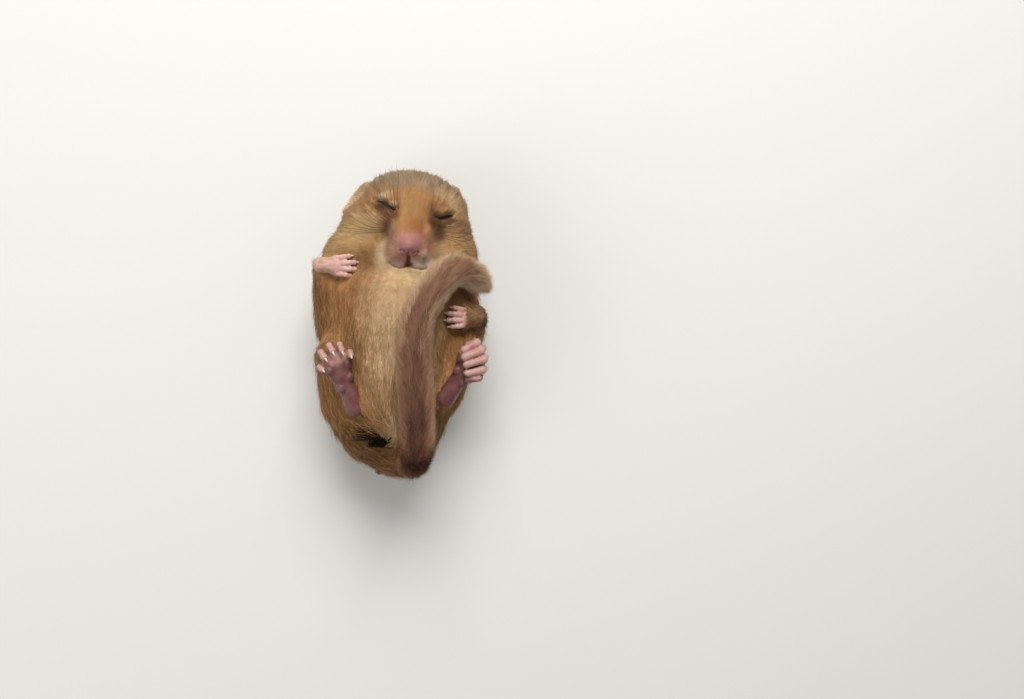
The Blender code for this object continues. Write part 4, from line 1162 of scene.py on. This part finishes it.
# painted shade: dark red in the creases and hollows of the paws
paw_colour = paw_skin.mixed(crease, paw_colour, tone(92, 32, 30))
paw_bump = paw_skin.bump(lines, depth=0.00006)
horn = Paint("claw_horn", Roughness=0.3)
streak = horn.noise(scale=2500.0, detail=2.0)
horn_colour = horn.mixed(streak, tone(206, 178, 156), tone(236, 218, 200))
fringe = Paint("pale_fringe", Roughness=0.7)
fringe_colour = fringe.mixed(fringe.attribute("shade"), tone(192, 150, 112), tone(220, 190, 158))
for name, (palm, digits, side, heel, toes, sole) in PAWS.items():
    place = paw_frame(heel, toes, sole)
    turned, middle_at = place.to_3x3(), np.array(place.translation)
    form, claws = bmesh.new(), bmesh.new()
    for low, high in zip(PALMS[palm], PALMS[palm][1:]):
        for step in range(PALM_STEPS + 1):
            x, y, z, *radii = (a + (b - a) * step / PALM_STEPS for a, b in zip(low, high))
            add_ball(form, x * side, y, z, radii, place)
    for x, y, z, size in PADS[palm]:
        add_ball(form, x * side, y, z, (size, size * 1.1, size * 0.8), place)
    for x, y, spread, reach, bends in DIGITS[digits]:
        turn = math.radians(spread * side)
        joint, thick = Vector((x * side, y, 0)), DIGIT_RADII[digits][0]
        for bend, thin, share in zip(bends, DIGIT_RADII[digits][1:], BONE_SHARES[digits]):
            bend = math.radians(bend)
            way = Vector((math.sin(turn) * math.cos(bend), math.cos(turn) * math.cos(bend), math.sin(bend)))
            after = joint + way * reach * share
            for step in range(BONE_STEPS + 1):
                waist = 1 - BONE_WAIST * math.sin(math.pi * step / BONE_STEPS)
                radius = (thick + (thin - thick) * step / BONE_STEPS) * waist
                add_ball(form, *joint.lerp(after, step / BONE_STEPS), (radius,) * 3, place)
            joint, thick = after, thin
        tip, ahead = place @ joint, (turned @ way).normalized()
        hook = (ahead + (turned @ Vector((0, 0, 1))) * HOOKS[palm]).normalized()
        size = 0.6 if digits == "clenched" else 1
        nail = [
            tip + (ahead * out_by + hook * bow) * size
            for out_by, bow in ((0.25 / size, 0), (0.6, 0), (0.85, 0.12), (0.95, 0.42))
        ]
        radii = [radius * size for radius in (0.26, 0.22, 0.14, 0.03)]
        add_sweep(claws, nail, radii, 8, 1.0, turned @ Vector((1, 0, 0.1)))
    paw = finished_form(name + "_skin", form)
    remeshed(paw, PAW_GRAIN)
    evened(paw, PAW_ROUNDS)
    # how deep each point lies in a crease, for the painted shade there
    before = coordinates(paw.data)
    soft = placed("softened", paw.data.copy())
    evened(soft, CREASE_ROUNDS)
    hollow = ((coordinates(soft.data) - before) * vertex_normals(paw.data)).sum(1)
    bpy.data.objects.remove(soft)
    in_frame = (before - middle_at) @ np.array(turned)
    # how far each point of a foot lies in the painted shade of the sole
    front = min(y for _, y, *_ in DIGITS[digits]) + (2.0 if digits == "clenched" else 0.0)
    sole_in_shade = ease(-1.7, 0.1, in_frame[:, 2]) * (1 - ease(front, front + 2.0, in_frame[:, 1]))
    if digits == "clenched":
        sole_in_shade *= 1 - ease(1.6, 2.3, in_frame[:, 2]) * ease(6.0, 7.2, in_frame[:, 1])
    sole_in_shade = np.maximum(sole_in_shade, 0.28) * (palm == "foot")
    paw.data.transform(MM)
    flushed = np.zeros(len(before))
    if name in FLUSHED_AT:
        flushed_at = seen(surface_of(paw), *FLUSHED_AT[name])[0]
        flushed = fading(distance(before * 0.001, flushed_at), FLUSH_REACH)
    keep_numbers(paw.data, crease=ease(0.01, 0.14, hollow), sole=sole_in_shade, flush=flushed)
    shade_smooth(paw.data)
    unwrapped(paw)
    paw_skin.coat(paw, Base_Color=paw_colour, Normal=paw_bump)
    nails = finished_form(name + "_claws", claws)
    nails.data.transform(MM)
    horn.coat(nails, Base_Color=horn_colour)
    up = np.array(turned @ Vector((0, 0, 1)))
    ahead = np.array(turned @ Vector((0, 1, 0)))

    def on_back(roots, out):
        behind = out @ up < -0.1
        if palm == "hand":
            behind &= (roots * 1000 - middle_at) @ ahead < 2.0
        return behind

    def on_wrist(roots, out):
        return (roots * 1000 - middle_at) @ ahead < SLEEVES[name] - draw.random(len(roots)) * 1.2

    hair = paw_hair(name + "_fringe", paw, ahead, on_back, **FRINGE)
    fringe.coat(hair, Base_Color=fringe_colour)
    for piece in (paw, nails, hair):
        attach(piece, "root")
    if name in SLEEVES:
        sleeve = paw_hair(name + "_sleeve", paw, ahead, on_wrist, **SLEEVE)
        fur.coat(sleeve)
        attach(sleeve, "root")
    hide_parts(name)

# The whiskers: long dark hairs from the sides of the muzzle and beside the eyes. In sleep they
# are laid back over the cheeks and the brow, and a few pass the crown.
WHISKERS = (
    # root and end, as pixels of the photo, and how much each bows
    ((388, 224), (360, 196), 4), ((387, 226), (352, 202), 5), ((386, 228), (345, 210), 5),
    ((387, 229), (338, 219), 4), ((388, 230), (328, 226), 3), ((386, 231), (334, 232), 2),
    ((390, 222), (366, 188), 5), ((391, 219), (369, 182), 4), ((388, 232), (344, 240), -2),
    ((392, 216), (374, 176), 4), ((393, 214), (380, 170), 4), ((395, 212), (386, 167), 4),
    ((396, 211), (392, 165), 3), ((397, 210), (397, 164), 2), ((393, 222), (383, 178), 6),
    ((390, 226), (358, 190), 8), ((399, 209), (404, 167), 2),
    ((438, 230), (474, 232), -3), ((439, 233), (476, 240), -2), ((438, 228), (470, 222), -3),
    ((440, 235), (474, 250), 1), ((436, 226), (464, 206), -4), ((433, 218), (458, 190), -5),
    ((432, 215), (448, 180), -4), ((431, 213), (438, 175), -3), ((430, 212), (427, 172), -2),
    ((437, 224), (467, 212), -5), ((438, 236), (470, 258), 3),
)
WHISKER_STEPS = 14
WHISKER_THICK = 0.000046
WHISKER_STANDS = 0.0011
WHISKER_JUMP = 0.004
WHISKER_FALL = 0.0003
WHISKER_ROUNDS = 3
form = bmesh.new()
for (x0, y0), (x1, y1), bow in WHISKERS:
    normal_way = Vector((y1 - y0, x0 - x1, 0)).normalized() * bow
    line = []
    for step in range(WHISKER_STEPS + 1):
        t = step / WHISKER_STEPS
        px = x0 + (x1 - x0) * t + normal_way.x * math.sin(math.pi * t)
        py = y0 + (y1 - y0) * t + normal_way.y * math.sin(math.pi * t)
        place, normal = seen(face_skin, px, py)
        if place is None or (line and (place - line[-1]).length > WHISKER_JUMP):
            ray = camera_turn @ sight_line(px, py)
            low = line[-1].z - WHISKER_FALL
            place = CAMERA_AT + ray * ((low - CAMERA_AT.z) / ray.z)
        else:
            place = place + normal * (WHISKER_STANDS * math.sin(math.pi * min(t + 0.06, 1)) + 0.0002)
        line.append(place)
    for _ in range(WHISKER_ROUNDS):
        line = [line[0], *((a + b * 2 + c) / 4 for a, b, c in zip(line, line[1:], line[2:])), line[-1]]
    radii = [WHISKER_THICK * (1 - 0.8 * i / WHISKER_STEPS) for i in range(WHISKER_STEPS + 1)]
    add_sweep(form, line, radii, 4)
whiskers = finished_form("whiskers", form)
whisker = Paint("whisker_hair", Roughness=0.4)
fade = whisker.noise(scale=300.0, detail=1.0)
whisker.coat(whiskers, Base_Color=whisker.mixed(fade, tone(40, 26, 18), tone(92, 66, 46)))
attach(whiskers, "root")

# The floor and the light: a pale table top under a large soft window. A weaker lamp from the other
# side and an even glow all round fill the shadows.
FLOOR_SIZE = 3.0
FLOOR_TONE = (0.74, 0.73, 0.70)
GLOW_TONE = (1, 0.99, 0.97, 1)
GLOW_STRENGTH = 0.36
LAMPS = (
    # name, place, size, power
    ("window", (0.02, 0.36, 0.40), 0.32, 3.0),
    ("fill", (-0.40, -0.20, 0.35), 0.30, 0.7),
)
bpy.ops.mesh.primitive_plane_add(size=FLOOR_SIZE, location=(0, 0, 0))
floor = bpy.context.active_object
floor.name = "floor"
floor_paint = Paint("pale_floor", Roughness=0.85)
floor_paint.coat(floor, Base_Color=FLOOR_TONE)
world = bpy.data.worlds.new("room")
bpy.context.scene.world = world
world.use_nodes = True
glow = world.node_tree.nodes["Background"].inputs
glow["Color"].default_value = GLOW_TONE
glow["Strength"].default_value = GLOW_STRENGTH
for name, place, size, power in LAMPS:
    light = bpy.data.objects.new(name, bpy.data.lights.new(name, "AREA"))
    light.data.size = size
    light.data.energy = power
    light.location = place
    light.rotation_mode = "QUATERNION"
    light.rotation_quaternion = (-Vector(place)).to_track_quat("-Z", "Y")
    bpy.context.scene.collection.objects.link(light)

bpy.context.scene.view_settings.view_transform = "Standard"
